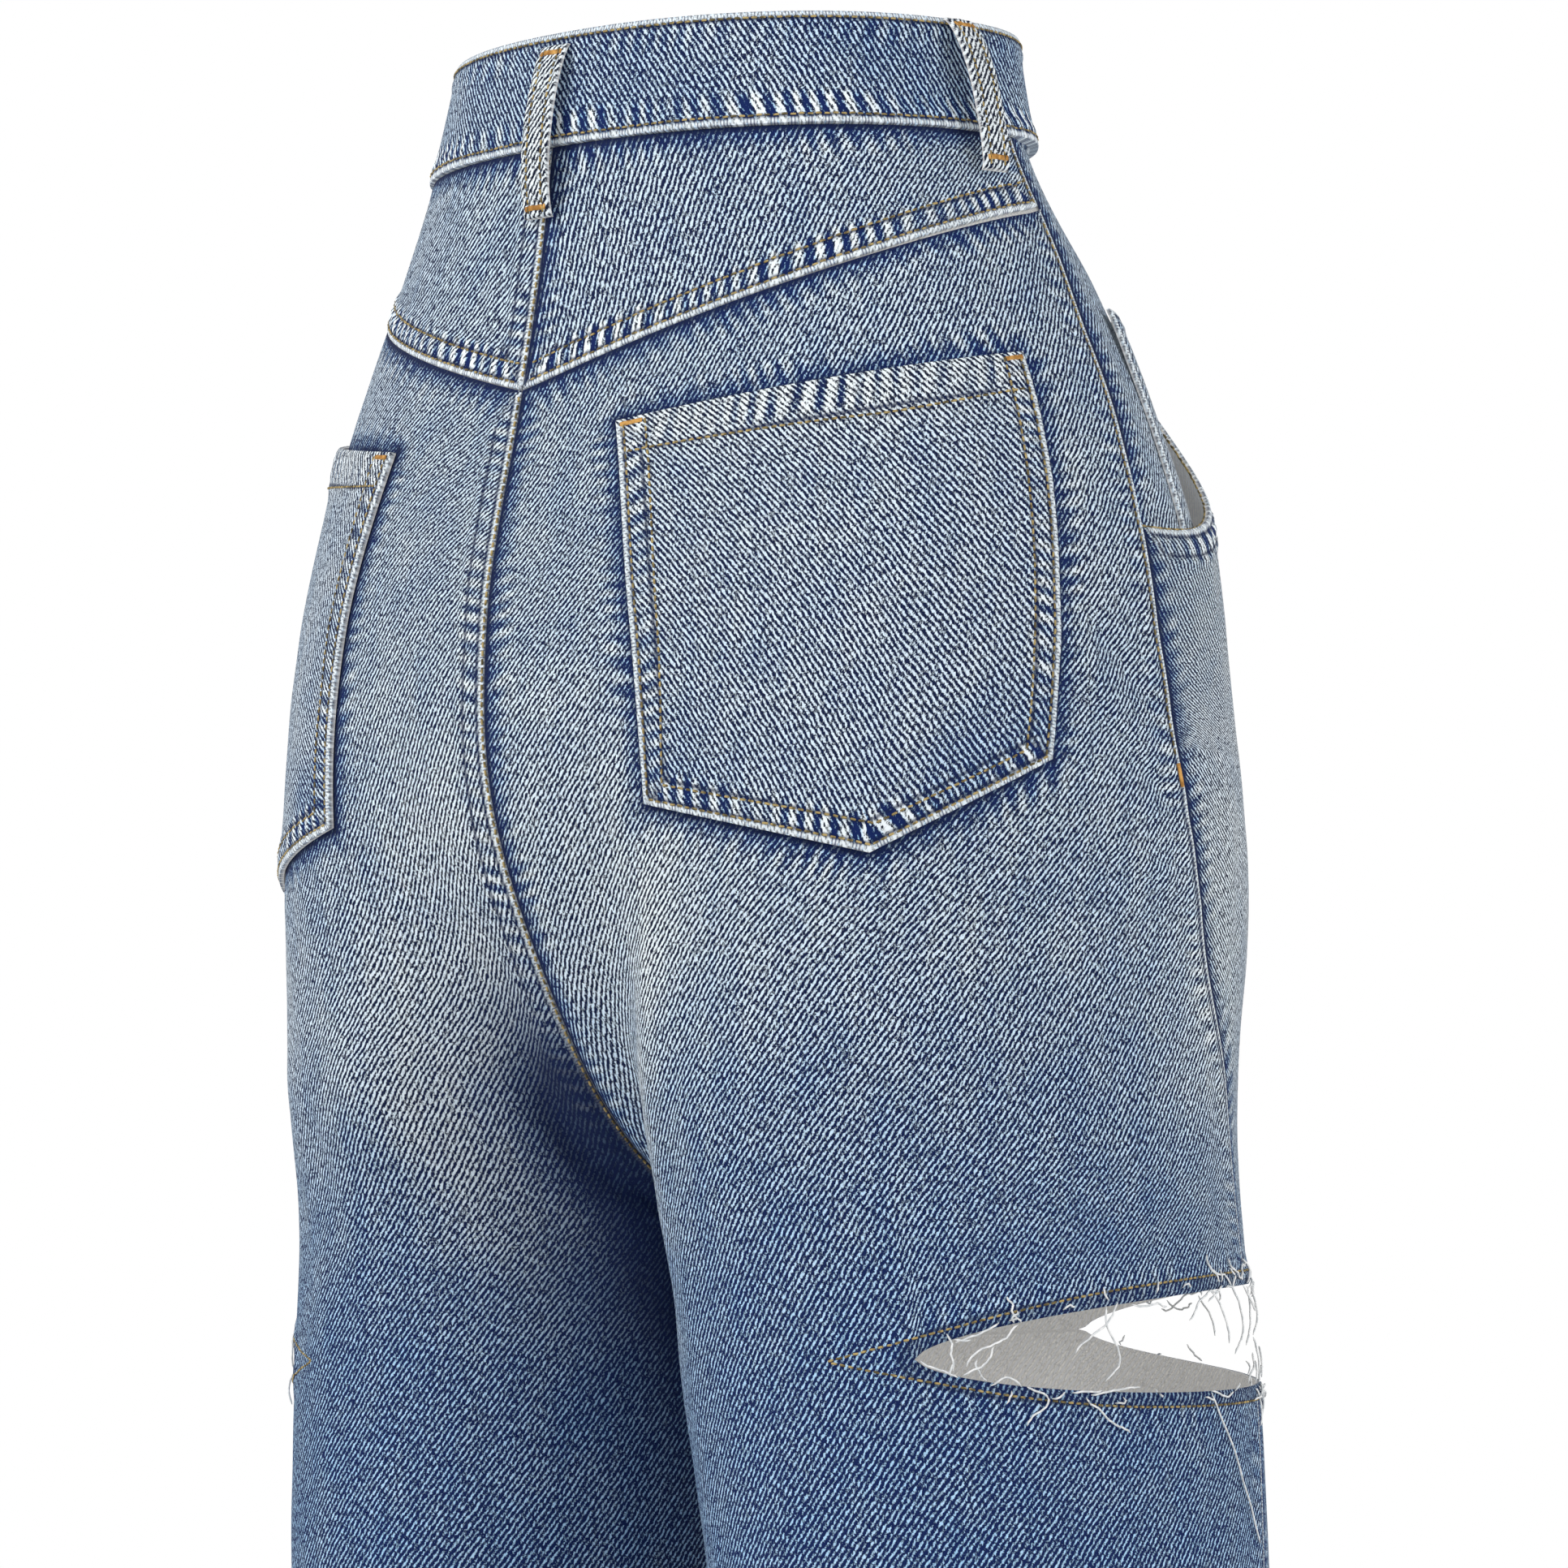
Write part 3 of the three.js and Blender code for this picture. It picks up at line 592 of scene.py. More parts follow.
def denim_material(name, pale=0.0):
    n = Nodes(name)
    u, v, _ = n.attribute("weave")
    wash_and_shade, wrong, shade = n.attribute("wash_and_shade")
    along, away, gathers = n.attribute("seam")
    first, second, layer = n.attribute("sewn")
    place = n.join(u, v)

    # twill: slubby lines that rise to the right
    drift = (n.noise(place, 0.22, 2.0) - 0.5) * 1.6
    wave = n.sine((u - v / TWILL_SLOPE + drift) / TWILL_PITCH * (2 * math.pi))
    slub = n.noise(n.join(u * 0.8 + v * -0.2, v * 0.34 + u * 0.22), 1.25, 3.0, 0.7) - 0.5
    fleck = n.noise(place, 1.7, 3.0, 0.75) - 0.5
    patch = n.noise(place, 0.045, 3.0, 0.55) - 0.5
    streak = n.noise(n.join(u * 0.16, v * 0.012), 1.0, 2.0) - 0.5

    # gathers along a sewn edge, as the cloth's own relief has them
    turn = (along + away * PUCKER["slant"]) * (2 * math.pi / PUCKER["pitch"])
    for size, spread in ((1.9, 8.3), (1.4, 19.0)):
        turn = turn + n.sine(along / spread) * size
    swell = n.sine(along / 13.7) * 0.35 + 0.65
    fade = n.step(away, PUCKER["end"] - 5, PUCKER["end"] + 1, 1.0, 0.0)
    uneven = n.step(n.noise(n.join(along / 11.0, away / 14.0), 1.0, 1.0), 0.3, 0.62, 0.35, 1.25)
    gather = n.sine(turn) * swell * fade * (gathers * uneven)
    on_top = n.step(layer, 0.2, 0.9)
    under = n.step(layer, -0.2, -0.9)
    # beside the edge of a top layer the cloth under it is darker for 10 mm: partly painted shade, partly
    # unfaded blue
    deep = n.step(away, 0.5, 10.0, 0.36, 0.0) * under

    # how worn the cloth looks; its first term and deep also bring in painted shade
    worn = wash_and_shade + pale + patch * 0.4 + streak * 0.25 + gather * 0.8 + deep * -1.0
    worn = n.step(worn, -0.1, 1.1)
    ridge = wave * 0.52 + slub * 3.8 + fleck * 3.0 + (worn - 0.5) * 0.45 + gather * 0.5 + deep * -0.5
    ridge = n.step(ridge, -0.1, 0.46)
    colour = n.blend(ridge, n.blend(worn, VALLEY, VALLEY_WORN), n.blend(worn, RIDGE, RIDGE_WORN))

    # the edge itself is rubbed pale, with the ticks of its yarns; navy is painted shade along the
    # stitch rows, a painted shadow under the edge of a top layer and painted shade between the legs,
    # and it lies in the slash's turned-in band too
    tick = n.step(n.sine(along * (2 * math.pi / YARN_TICK)), -1.6, 0.6)
    rope = n.near(away, 1.0, 1.6) * (on_top * n.step(first, 0.0, 1.0)) * tick
    colour = n.blend(rope, colour, RIDGE_WORN)
    row_shade = n.largest(n.near(away, first, 1.25), n.near(away, second, 1.25)) * (on_top * 0.8)
    lap_shadow = n.step(away, 0.9, 3.2, 0.95, 0.0) * under
    slash_edge = n.step(first, 1.0, 0.0) * n.step(second, 7.0, 6.0)
    turned_in = slash_edge * (on_top * n.step(away, 3.6, 5.0, 0.4, 0.0))
    colour = n.blend(n.largest(row_shade, lap_shadow, turned_in, shade), colour, NAVY)

    inside = n.blend(n.step(wave + slub * 1.6, -1.2, 1.2), WRONG_LINE, WRONG_SIDE)
    return n.finish(
        Base_Color=n.blend(wrong, colour, inside), Roughness=0.86, Specular_IOR_Level=0.25,
        # the wrong side's painted glow
        Emission_Color=WRONG_SIDE, Emission_Strength=wrong * WRONG_SIDE_GLOW,
        Normal=n.bump(ridge, 0.8, 0.0005),
    )


def thread_material(name, colours):
    """Sewing thread: each stitch a little lighter or darker than the next."""
    n = Nodes(name)
    place = n.add("ShaderNodeTexCoord", output="Object")
    tone = n.step(n.noise(place, 420.0, 1.0), 0.35, 0.65)
    grain = n.bump(n.noise(place, 2600.0, 1.0), 0.4, 0.0002)
    return n.finish(Base_Color=n.blend(tone, *colours), Roughness=0.7, Normal=grain)


def brass_material():
    n = Nodes("worn_brass")
    place = n.add("ShaderNodeTexCoord", output="Object")
    worn = n.step(n.noise(place, 300.0, 3.0), 0.4, 0.65)
    brass = n.blend(worn, srgb(150, 116, 66), srgb(204, 176, 124))
    return n.finish(Base_Color=brass, Metallic=1.0, Roughness=n.step(worn, 0.0, 1.0, 0.45, 0.3))


DENIM = denim_material("denim")
PALE_DENIM = denim_material("pocket_denim", pale=0.06)
LOOP_DENIM = denim_material("loop_denim", pale=0.05)
TOPSTITCH = thread_material("topstitch", (srgb(92, 80, 46), srgb(186, 162, 104)))
BARTACK = thread_material("bartack", (srgb(170, 118, 48), srgb(222, 170, 92)))
WHITE_THREAD = thread_material("frayed_thread", (srgb(214, 218, 220), srgb(246, 247, 247)))
BRASS = brass_material()

# ---- seam lines --------------------------------------------------------------------------
COUNT = 220


def seam_line(side, s, z, kind):
    return cloth(side, s, z), kind


def side_line(side, top, bottom, kind):
    z = np.linspace(top, bottom, COUNT)
    return seam_line(side, side_seam(z), z, kind)


def centre_line(side, s, top, bottom, kind):
    z = np.linspace(top, bottom, COUNT)
    return seam_line(side, np.full(COUNT, s), z, kind)


def yoke_line(side, kind):
    s = np.linspace(side_seam(YOKE_SIDE), CENTRE, COUNT)
    return seam_line(side, s, yoke_seam(s), kind)


def slash_line(side, sign, kind):
    s = np.linspace(SLASH["tip_front"], SLASH["tip_back"], COUNT)
    return seam_line(side, s, slash_middle(s) + sign * slash_half(s), kind)


# ---- panels ------------------------------------------------------------------------------
EDGE = 0.0005
SLASH_FALLOFF = 70.0


def rows_down(top, bottom):
    """Row heights: close at the turned edges and the slash, then wider apart down the leg."""
    z = [0.0, 0.8, 2.0]
    while top - z[-1] > -505.0:
        z.append(z[-1] + 3.2)
    while top - z[-1] > bottom + 9.0:
        z.append(z[-1] + 8.0)
    levels = top - np.array(z)
    return np.concatenate([levels[levels > bottom + 4.0], [bottom + 2.0, bottom + 0.8, bottom]])


def with_slash(levels, station):
    """Rows of a leg panel opened at the slash: s, z, point ids, and the cells left out. The row at
    the slash's height is there twice, and both copies are one beyond the slash's tips."""
    k = int(np.argmin(np.abs(levels - SLASH["z"])))
    z = SLASH["z"]
    flat = np.concatenate([levels[:k], [z + 1.0, z, z, z - 1.0], levels[k + 1:]])
    upper = k + 1
    s = station(np.broadcast_to(flat[:, None], (len(flat), station.count)))
    falloff = 1 - smooth(np.abs(flat - SLASH["z"]) / SLASH_FALLOFF)
    above = np.where(np.arange(len(flat)) <= upper, 1.0, -1.0)
    shift = slash_middle(s) - SLASH["z"] + above[:, None] * slash_half(s)
    z = flat[:, None] + shift * falloff[:, None]
    s = station(z)
    ids = np.arange(s.size).reshape(s.shape)
    closed = slash_half(s[upper]) <= 0
    ids[upper + 1, closed] = ids[upper, closed]
    cells = np.zeros((s.shape[0] - 1, s.shape[1] - 1), bool)
    cells[upper] = ~(closed[:-1] & closed[1:])
    return s, z, ids, cells


class Stations:
    """Stations of a leg panel's columns at the heights z, from the side seam to the centre, whose
    station is 1 behind and -1 in front."""

    def __init__(self, share, centre):
        self.share, self.centre = share, centre
        self.count = len(share)

    def __call__(self, z):
        return mix(side_seam(z) + self.centre * EDGE, self.centre * (1 - EDGE), self.share)


def back_panel(name, side):
    station = Stations(tight(118, (0.0015, 0.005)), 1)
    levels = rows_down(-100.0, HEM)
    s, z, ids, cells = with_slash(levels, station)
    top = yoke_seam(station(np.full(s.shape, -80.0))) - HALF_SEAM
    fall = 1 - smooth((-100.0 - z) / 120.0)
    z = z + (top + 100.0) * fall
    s = station(z)
    centre_kind = "flat" if side == LEFT else "under"
    seams = [
        side_line(side, -49, HEM, "single"), centre_line(side, CENTRE, -100, CROTCH, centre_kind),
        *(seam_line(side, *edge, "under") for edge in patch_edges(name, np.linspace(0, 1, COUNT))),
        yoke_line(side, "under"), slash_line(side, 1, "slash"), slash_line(side, -1, "slash"),
        centre_line(side, CENTRE, CROTCH - 20, HEM, "single"),
    ]
    return panel(f"back_{name}", side, s, z, seams, ids=ids, open_cells=cells)


def front_gape(s, z):
    """How far the front stands away beside the pocket mouth."""
    power = 2 / MOUTH["squareness"]
    seam = side_seam(z)
    v = np.clip((seam - s) / (1 + seam) / MOUTH["width"], 0, 3)
    down = np.clip((BAND_BOTTOM - z) / MOUTH["depth"], 0, 3)
    distance = (v**power + down**power) ** (1 / power) - 1
    return MOUTH["gape"] * bell(np.maximum(0, distance) / 0.28) * np.sin(2 * np.arctan2(down, v)) ** 2


def mouth_line(count=COUNT):
    """The edge of the front pocket's mouth, from the waistband to the side seam."""
    t = np.linspace(0, math.pi / 2, count)
    z = BAND_BOTTOM - HALF_SEAM - MOUTH["depth"] * np.sin(t) ** MOUTH["squareness"]
    v = MOUTH["width"] * np.cos(t) ** MOUTH["squareness"]
    s = mix(side_seam(z) - EDGE, -1 + EDGE, v)
    return s, z


def front_panel(name, side):
    station = Stations(tight(84, (0.002, 0.006)), -1)
    share = station.share
    meets = 0.53
    t = np.clip(1 - share / meets, 0, 1) * math.pi / 2
    past_mouth = mix(MOUTH["width"], 1.0, (share - meets) / (1 - meets))
    top_v = np.where(share < meets, MOUTH["width"] * np.cos(t) ** MOUTH["squareness"], past_mouth)
    top_z = BAND_BOTTOM - HALF_SEAM - MOUTH["depth"] * np.sin(t) ** MOUTH["squareness"]
    down = np.concatenate([[0.0, 0.006, 0.014], np.linspace(0.026, 1.0, 66)[:-1]])[:, None]
    hips_end = HIP_LEVELS[-1]
    upper_z = mix(top_z, hips_end, down)
    upper_s = mix(side_seam(upper_z) - EDGE, -1 + EDGE, mix(top_v, share, smooth(down)))
    levels = rows_down(hips_end, HEM)
    s, z, ids, cells = with_slash(levels, station)
    ids = np.concatenate([np.arange(upper_s.size).reshape(upper_s.shape), ids + upper_s.size])
    cells = np.concatenate([np.zeros((len(upper_s), cells.shape[1]), bool), cells])
    s, z = np.concatenate([upper_s, s]), np.concatenate([upper_z, z])
    centre_kind = "single" if side == LEFT else "under"
    seams = [
        side_line(side, -158, HEM, "under"), centre_line(side, -CENTRE, -20, CROTCH, centre_kind),
        seam_line(side, *mouth_line(), "double"), slash_line(side, 1, "slash"),
        slash_line(side, -1, "slash"), centre_line(side, -CENTRE, CROTCH - 20, HEM, "under"),
    ]
    lift = front_gape(s, z)
    return panel(f"front_{name}", side, s, z, seams, lift=lift, ids=ids, open_cells=cells, grain=4)


def yoke(name, side):
    across, down = tight(118, (0.0018, 0.005))[None, :], tight(34, (0.006, 0.02))[:, None]
    s = mix(side_seam(-35.0) + EDGE, 1 - EDGE, across)
    z = mix(BAND_BOTTOM - HALF_SEAM, yoke_seam(s) + HALF_SEAM, down)
    s = np.maximum(s, side_seam(z) + EDGE)
    centre_kind = "flat" if side == LEFT else "under"
    seams = [
        side_line(side, -20, -49, "single"), yoke_line(side, "double"),
        centre_line(side, CENTRE, -20, -108, centre_kind),
        seam_line(side, np.linspace(-0.06, 1, COUNT), np.full(COUNT, BAND_BOTTOM), "under"),
    ]
    return panel(f"yoke_{name}", side, s, z, seams)


def band_lift(r):
    """How far the left end is lifted over the right."""
    lapped = smooth((-2 + BAND["ramp"] - r) / (BAND["ramp"] - BAND["lap"]))
    return (BAND["thickness"] + 2 * HALF_SEAM) * lapped


def waistband():
    """One doubled strip round the waist. Its left end laps over its right end at the front."""
    end = 2 + BAND["lap"]
    r = mix(-end, end, tight(330, (0.0006, 0.0018)))[None, :]
    z = mix(BAND_TOP, BAND_BOTTOM + HALF_SEAM, tight(22, (0.012, 0.04)))[:, None]
    level = ring(r, z, BAND["out"] + band_lift(r))
    edge_r = np.linspace(-end, end, 3 * COUNT)
    seams = [
        (ring(edge_r, height, BAND["out"] + band_lift(edge_r)), kind)
        for height, kind in ((BAND_TOP, "single"), (BAND_BOTTOM, "band"))
    ]
    field = seam_field(level, seams)
    wave = 0.5 * wander(r * 160, 31, 24) * smooth((BAND_TOP - z) / 12) + 0 * z
    outer = ring(r, z, BAND["out"] + band_lift(r) + lap_relief(field) * 0.8 + wave)
    inner = ring(r, z, BAND["out"] + band_lift(r) - BAND["thickness"])
    u, v = cloth_coordinates(level)
    fields = cloth_fields((-u, v), (0.5 + 0.12 * wander(r * 160 + z, 33, 40), 0), field)
    return wall_mesh("waistband", outer, inner, fields, doubled=True)


PATCH = dict(top=(0.84, -124, 0.16, -102), bottom=(0.735, -254, 0.175, -240), tip=0.62, drop=27, lift=0.5)
PATCH_SHIFT = {"right": 0.0, "left": -0.08}


def patch_place(name, u, v):
    """Station and height of a place on a back pocket, u across from its inner side and v down."""
    point = np.where(u < PATCH["tip"], u / PATCH["tip"], (1 - u) / (1 - PATCH["tip"]))
    top, bottom = PATCH["top"], PATCH["bottom"]
    s = mix(mix(top[0], bottom[0], v), mix(top[2], bottom[2], v), u)
    low = mix(bottom[1], bottom[3], u) - PATCH["drop"] * point
    return s + PATCH_SHIFT[name], mix(mix(top[1], top[3], u), low, v)


def patch_edges(name, ends):
    """The inner, outer, bottom and top edges of a back pocket."""
    nought, one = 0 * ends, 0 * ends + 1
    places = ((nought, ends), (one, ends), (ends, one), (ends, nought))
    return [patch_place(name, u, v) for u, v in places]


def back_pocket(name, side):
    half_u = tight(44, (0.006, 0.02))
    u = np.concatenate([half_u * PATCH["tip"], mix(PATCH["tip"], 1.0, half_u[1:])])[None, :]
    v = tight(70, (0.003, 0.012))[:, None]
    s, z = patch_place(name, u, v)
    lift = PATCH["lift"] + CLOTH
    gape = 1.3 * np.sin(math.pi * u) * bell(v / 0.09)
    level = cloth(side, s, z, lift)
    ends = np.linspace(0, 1, COUNT)
    inner, outer_side, foot, top = patch_edges(name, ends)
    seams = [
        (cloth(side, *inner, lift), "flat"), (cloth(side, *outer_side, lift), "flat"),
        (cloth(side, *foot, lift), "double"), (cloth(side, *top, lift), "hem"),
    ]
    field = seam_field(level, seams)
    sag = 0.45 * wander(s * 260 + z, 41 + side, 34) + 0.3 * wander(z * 1.3 - s * 90, 44 + side, 22)
    outer = cloth(side, s, z, lift + lap_relief(field) * 0.9 + sag * smooth(field[..., 1] / 14) + gape)
    inner = cloth(side, s, z, PATCH["lift"] + gape)
    across, down = cloth_coordinates(level)
    across = -across if side == RIGHT else across
    corner_worn = 0.62 - 0.25 * bell((u - 0.85) / 0.2) * bell((v - 0.92) / 0.12)
    corner_worn = corner_worn - 0.2 * bell((u - 0.1) / 0.15) * bell((v - 0.9) / 0.12)
    corner_worn = corner_worn + 0.25 * bell(v / 0.1)
    fields = cloth_fields((across, down), (corner_worn, 0), field)
    return wall_mesh(f"back_pocket_{name}", outer, inner, fields)


FACING = dict(depth=3.1, width=0.67, bottom=-178.0, inset=0.002)


def facing_out(s, z):
    seam = side_seam(z)
    v = (seam - s) / (1 + seam)
    return -FACING["depth"] * np.maximum(smooth(v / 0.17), smooth((-132 - z) / 20))


def facing_place(v, down):
    z = mix(BAND_BOTTOM - HALF_SEAM, FACING["bottom"], down)
    return mix(side_seam(z) - EDGE, -1 + EDGE, v), z


def facing(name, side):
    v = mix(FACING["width"], FACING["inset"], tight(52, (0.006, 0.02)))[None, :]
    s, z = facing_place(v, tight(56, (0.004, 0.015))[:, None])
    s, z = np.broadcast_arrays(s, z)
    seams = [side_line(side, -20, -178, "under")]
    return panel(f"pocket_facing_{name}", side, s, z, seams, lift=facing_out(s, z), grain=3)


COIN = dict(top=0.375, bottom=0.875, front=0.67, back=0.1675, thickness=1.0, gape=2.0)


def coin_place(across, down):
    return facing_place(mix(COIN["front"], COIN["back"], across), mix(COIN["top"], COIN["bottom"], down))


def coin_out(s, z):
    top = coin_place(0.0, 0.0)[1]
    opening = bell((top - z) / 22) * smooth((s + 0.5) / 0.25)
    return facing_out(s, z) + 2 * HALF_SEAM + COIN["thickness"] + COIN["gape"] * opening


def coin_pocket(side):
    s, z = coin_place(tight(40, (0.006, 0.02))[None, :], tight(40, (0.006, 0.02))[:, None])
    s, z = np.broadcast_arrays(s, z)
    ends = np.linspace(0, 1, COUNT)
    lines = [coin_place(ends, 0 * ends), coin_place(1 + 0 * ends, ends)]
    seams = [seam_line(side, *line, "single") for line in lines]
    return panel("coin_pocket", side, s, z, seams, thickness=COIN["thickness"], lift=coin_out(s, z))


LOOP = dict(width=12.0, thickness=1.8, arch=7.5, top=19.0, bottom=-36.0, foot=1.6, foot_below=2.2)
LOOP_ROW = 3.4          # mm from a loop's middle to each row of stitches
BACK_LOOP = dict(top=15.0, bottom=-46.0, arch=5.5)      # the one at the back centre lies closer
# place round the waist, top and bottom
LOOPS = {
    "belt_loop_back": (0.0, BACK_LOOP["top"], BACK_LOOP["bottom"]),
    "belt_loop_back_right": (0.95, LOOP["top"], LOOP["bottom"]),
    "belt_loop_back_left": (-0.95, LOOP["top"], LOOP["bottom"]),
    "belt_loop_front_right": (1.7, LOOP["top"], LOOP["bottom"]),
    "belt_loop_front_left": (-1.7, LOOP["top"], LOOP["bottom"]),
}


def loop_point(r, top, bottom, t, x, out=0.0):
    """A place on a belt loop: t from its top to its bottom and x mm from its middle."""
    across = unit(ring(r + 0.02, 0.0, 0.0) - ring(r - 0.02, 0.0, 0.0))
    arch = BACK_LOOP["arch"] if r == 0 else LOOP["arch"]
    lift = mix(LOOP["foot"], LOOP["foot_below"], t) + arch * np.sin(math.pi * t) ** 0.6
    middle = ring(r, mix(top, bottom, t), lift + LOOP["thickness"] + out)
    return middle + across * np.asarray(x)[..., None]


def belt_loop(name):
    r, top, bottom = LOOPS[name]
    t = tight(60, (0.006, 0.018))[:, None]
    x = mix(-LOOP["width"] / 2, LOOP["width"] / 2, tight(14, (0.02, 0.07)))[None, :]
    t, x = np.broadcast_arrays(t, x)
    row = np.abs(np.abs(x) - LOOP_ROW)
    edge = LOOP["width"] / 2 - np.abs(x)
    relief = -0.3 * bell(row / 0.8) + 0.2 * wander(t * 60 + x, 51, 3.0) - 0.4 * bell(edge / 0.5)
    relief = relief - 0.35 * bell((t - 0.06) / 0.03) - 0.35 * bell((t - 0.94) / 0.03)
    outer = loop_point(r, top, bottom, t, x, relief)
    inner = loop_point(r, top, bottom, t, x, -LOOP["thickness"])
    worn = 1.1 + 0.3 * bell(edge / 0.9) - 0.5 * bell(row / 0.6)
    fields = cloth_fields((x, (0.5 - t) * (top - bottom)), (worn, 0), None)
    return wall_mesh(name, outer, inner, fields)


def fly_strip():
    """The strip behind the front centre line."""
    down = np.linspace(0, 5 / 7, 60)[:, None]
    z = mix(BAND_BOTTOM - HALF_SEAM, HIP_LEVELS[-1], down)
    reach = (1 - MOUTH["width"]) / 6
    r = 2 - mix(-reach, reach, tight(16, (0.02, 0.06)))[None, :]
    r, z = np.broadcast_arrays(r, z)
    outer = ring(r, z, -CLOTH - 2 * HALF_SEAM)
    inner = ring(r, z, -CLOTH - 2 * HALF_SEAM - 1.2)
    fields = cloth_fields(cloth_coordinates(outer), (0.5, 0), None)
    return wall_mesh("fly", outer, inner, fields)


def button():
    """A domed jeans button with a rim and a sunk middle, on a short shank."""
    profile = [
        (0, 0), (3, 0), (3, 1.4), (7.3, 1.4), (8.1, 1.8), (8.5, 2.5), (8.2, 3.4), (7.4, 4.1), (6.6, 4.2),
        (5.9, 4.0), (5.4, 3.6), (4.0, 3.7), (2.0, 3.9), (0, 4.0),
    ]
    centre = ring(2.0, 0.0, BAND["out"] + BAND["thickness"] + 4 * HALF_SEAM)
    sides = 48
    turn = np.arange(sides) * 2 * math.pi / sides
    points = [centre + (0, -profile[0][1], 0)]
    for radius, height in profile[1:-1]:
        circle = np.stack([radius * np.cos(turn), 0 * turn - height, radius * np.sin(turn)], -1)
        points.extend(centre + circle)
    points.append(centre + (0, -profile[-1][1], 0))
    faces = []
    rings = len(profile) - 2
    for k in range(sides):
        after = (k + 1) % sides
        faces.append((0, 1 + k, 1 + after))
        for i in range(rings - 1):
            a, b = 1 + i * sides, 1 + (i + 1) * sides
            faces.append((a + k, b + k, b + after, a + after))
        last = 1 + (rings - 1) * sides
        faces.append((last + k, len(points) - 1, last + after))
    face = plain_piece("button_face", points, faces)
    face.data.set_sharp_from_angle(angle=math.radians(50))
    return face


# ---- stitches ----------------------------------------------------------------------------
STITCH = dict(pitch=2.9, length=2.35, radius=0.42, sides=5)


def beside(side, s, z, offset):
    """The line s, z moved sideways over the cloth by offset mm, to the left of its own way."""
    s, z = np.asarray(s, float), np.asarray(z, float)
    ds, dz = 1e-3, 0.1
    here = cloth(side, s, z, 0, False)
    by_s = (cloth(side, s + ds, z, 0, False) - here) / ds
    by_z = (cloth(side, s, z + dz, 0, False) - here) / dz
    way = unit(np.gradient(here, axis=0))
    normal = unit(np.cross(by_s, by_z)) * (1 if side == RIGHT else -1)
    move = np.cross(normal, way) * np.broadcast_to(offset, s.shape)[:, None]
    a, b, c = (np.einsum("ab,ab->a", p, q) for p, q in ((by_s, by_s), (by_s, by_z), (by_z, by_z)))
    p, q = np.einsum("ab,ab->a", by_s, move), np.einsum("ab,ab->a", by_z, move)
    det = a * c - b * b
    return s + (p * c - q * b) / det, z + (a * q - b * p) / det


def surface_tree(*pieces):
    """The surface of some pieces, in mm, to lay stitches on."""
    points, faces = [], []
    for piece in pieces:
        start = len(points)
        points.extend(v.co / MM for v in piece.data.vertices)
        faces.extend([start + i for i in p.vertices] for p in piece.data.polygons)
    return BVHTree.FromPolygons(points, faces)


def spaced(points, pitch):
    """Places a pitch apart along a line, and the line's way at each."""
    length = along_line(points)
    at = np.arange(pitch / 2, length[-1], pitch)
    place, ahead, behind = (place_at(points, length, at + more) for more in (0, 0.8, -0.8))
    return place, unit(ahead - behind)


def on_surface(tree, places):
    """The nearest point of a surface to each place, and the way out of it there."""
    found = [tree.find_nearest(p) for p in places.tolist()]
    return np.array([f[0] for f in found]), np.array([f[1] for f in found])


class Stitches:
    """Gathers stitches, then makes them one piece."""

    def __init__(self, name, material, seed):
        self.name, self.material = name, material
        self.dice = np.random.default_rng(seed)
        self.parts = []

    def lay(self, place, way, up, length, radius):
        count = len(place)
        wobble = self.dice.uniform(-1, 1, (count, 3))
        across = unit(np.cross(up, way))
        way = unit(way + across * wobble[:, :1] * 0.10)
        across = unit(np.cross(up, way))
        length = length * (1 + 0.08 * wobble[:, 1])
        sides = STITCH["sides"]
        turn = np.arange(sides) * 2 * math.pi / sides + 0.3
        rings = [(-0.34, 0.9, 0.1), (0.0, 1.0, 0.16), (0.34, 0.9, 0.1)]
        points = [place - way * length[:, None] * 0.5 - up * 0.25]
        for along, size, height in rings:
            middle = place + way * (length * along)[:, None] + up * height
            for angle in turn:
                wide, tall = math.cos(angle) * radius * size, math.sin(angle) * radius * 0.75 * size
                points.append(middle + (across * wide + up * tall))
        points.append(place + way * length[:, None] * 0.5 - up * 0.25)
        self.parts.append(np.stack(points, 1))

    def row(self, tree, points, pitch=STITCH["pitch"], length=STITCH["length"], radius=STITCH["radius"]):
        place, way = spaced(points, pitch)
        spot, up = on_surface(tree, place)
        self.lay(spot, way, up, np.full(len(spot), length), radius)

    def bar(self, tree, start, end, width=1.9):
        """A bartack: short threads side by side from start to end."""
        points = np.linspace(start, end, 40)
        place, way = spaced(points, 0.62)
        spot, up = on_surface(tree, place)
        self.lay(spot, unit(np.cross(up, way)), up, np.full(len(spot), width), 0.44)

    def piece(self):
        points = np.concatenate(self.parts)
        each = points.shape[1]
        sides = STITCH["sides"]
        faces = []
        for k in range(sides):
            after = (k + 1) % sides
            faces.append((0, 1 + after, 1 + k))
            for i in range(2):
                a, b = 1 + i * sides, 1 + (i + 1) * sides
                faces.append((a + k, a + after, b + after))
                faces.append((a + k, b + after, b + k))
            faces.append((1 + 2 * sides + k, 1 + 2 * sides + after, each - 1))
        faces = np.array(faces)[None] + (np.arange(len(points)) * each)[:, None, None]
        piece = plain_piece(self.name, points.reshape(-1, 3), faces.reshape(-1, 3).tolist())
        return finish_piece(piece, None, self.material)


# ---- the garment -------------------------------------------------------------------------
# The pieces built so far, by the names of the CAD parts they stand for
pieces = {}


def build(piece, node, material):
    """A piece of the garment: gives it its material, hangs it on the root, hides the CAD part it stands
    for and keeps it by name.
    """
    pieces[node] = finish_piece(piece, node, material)


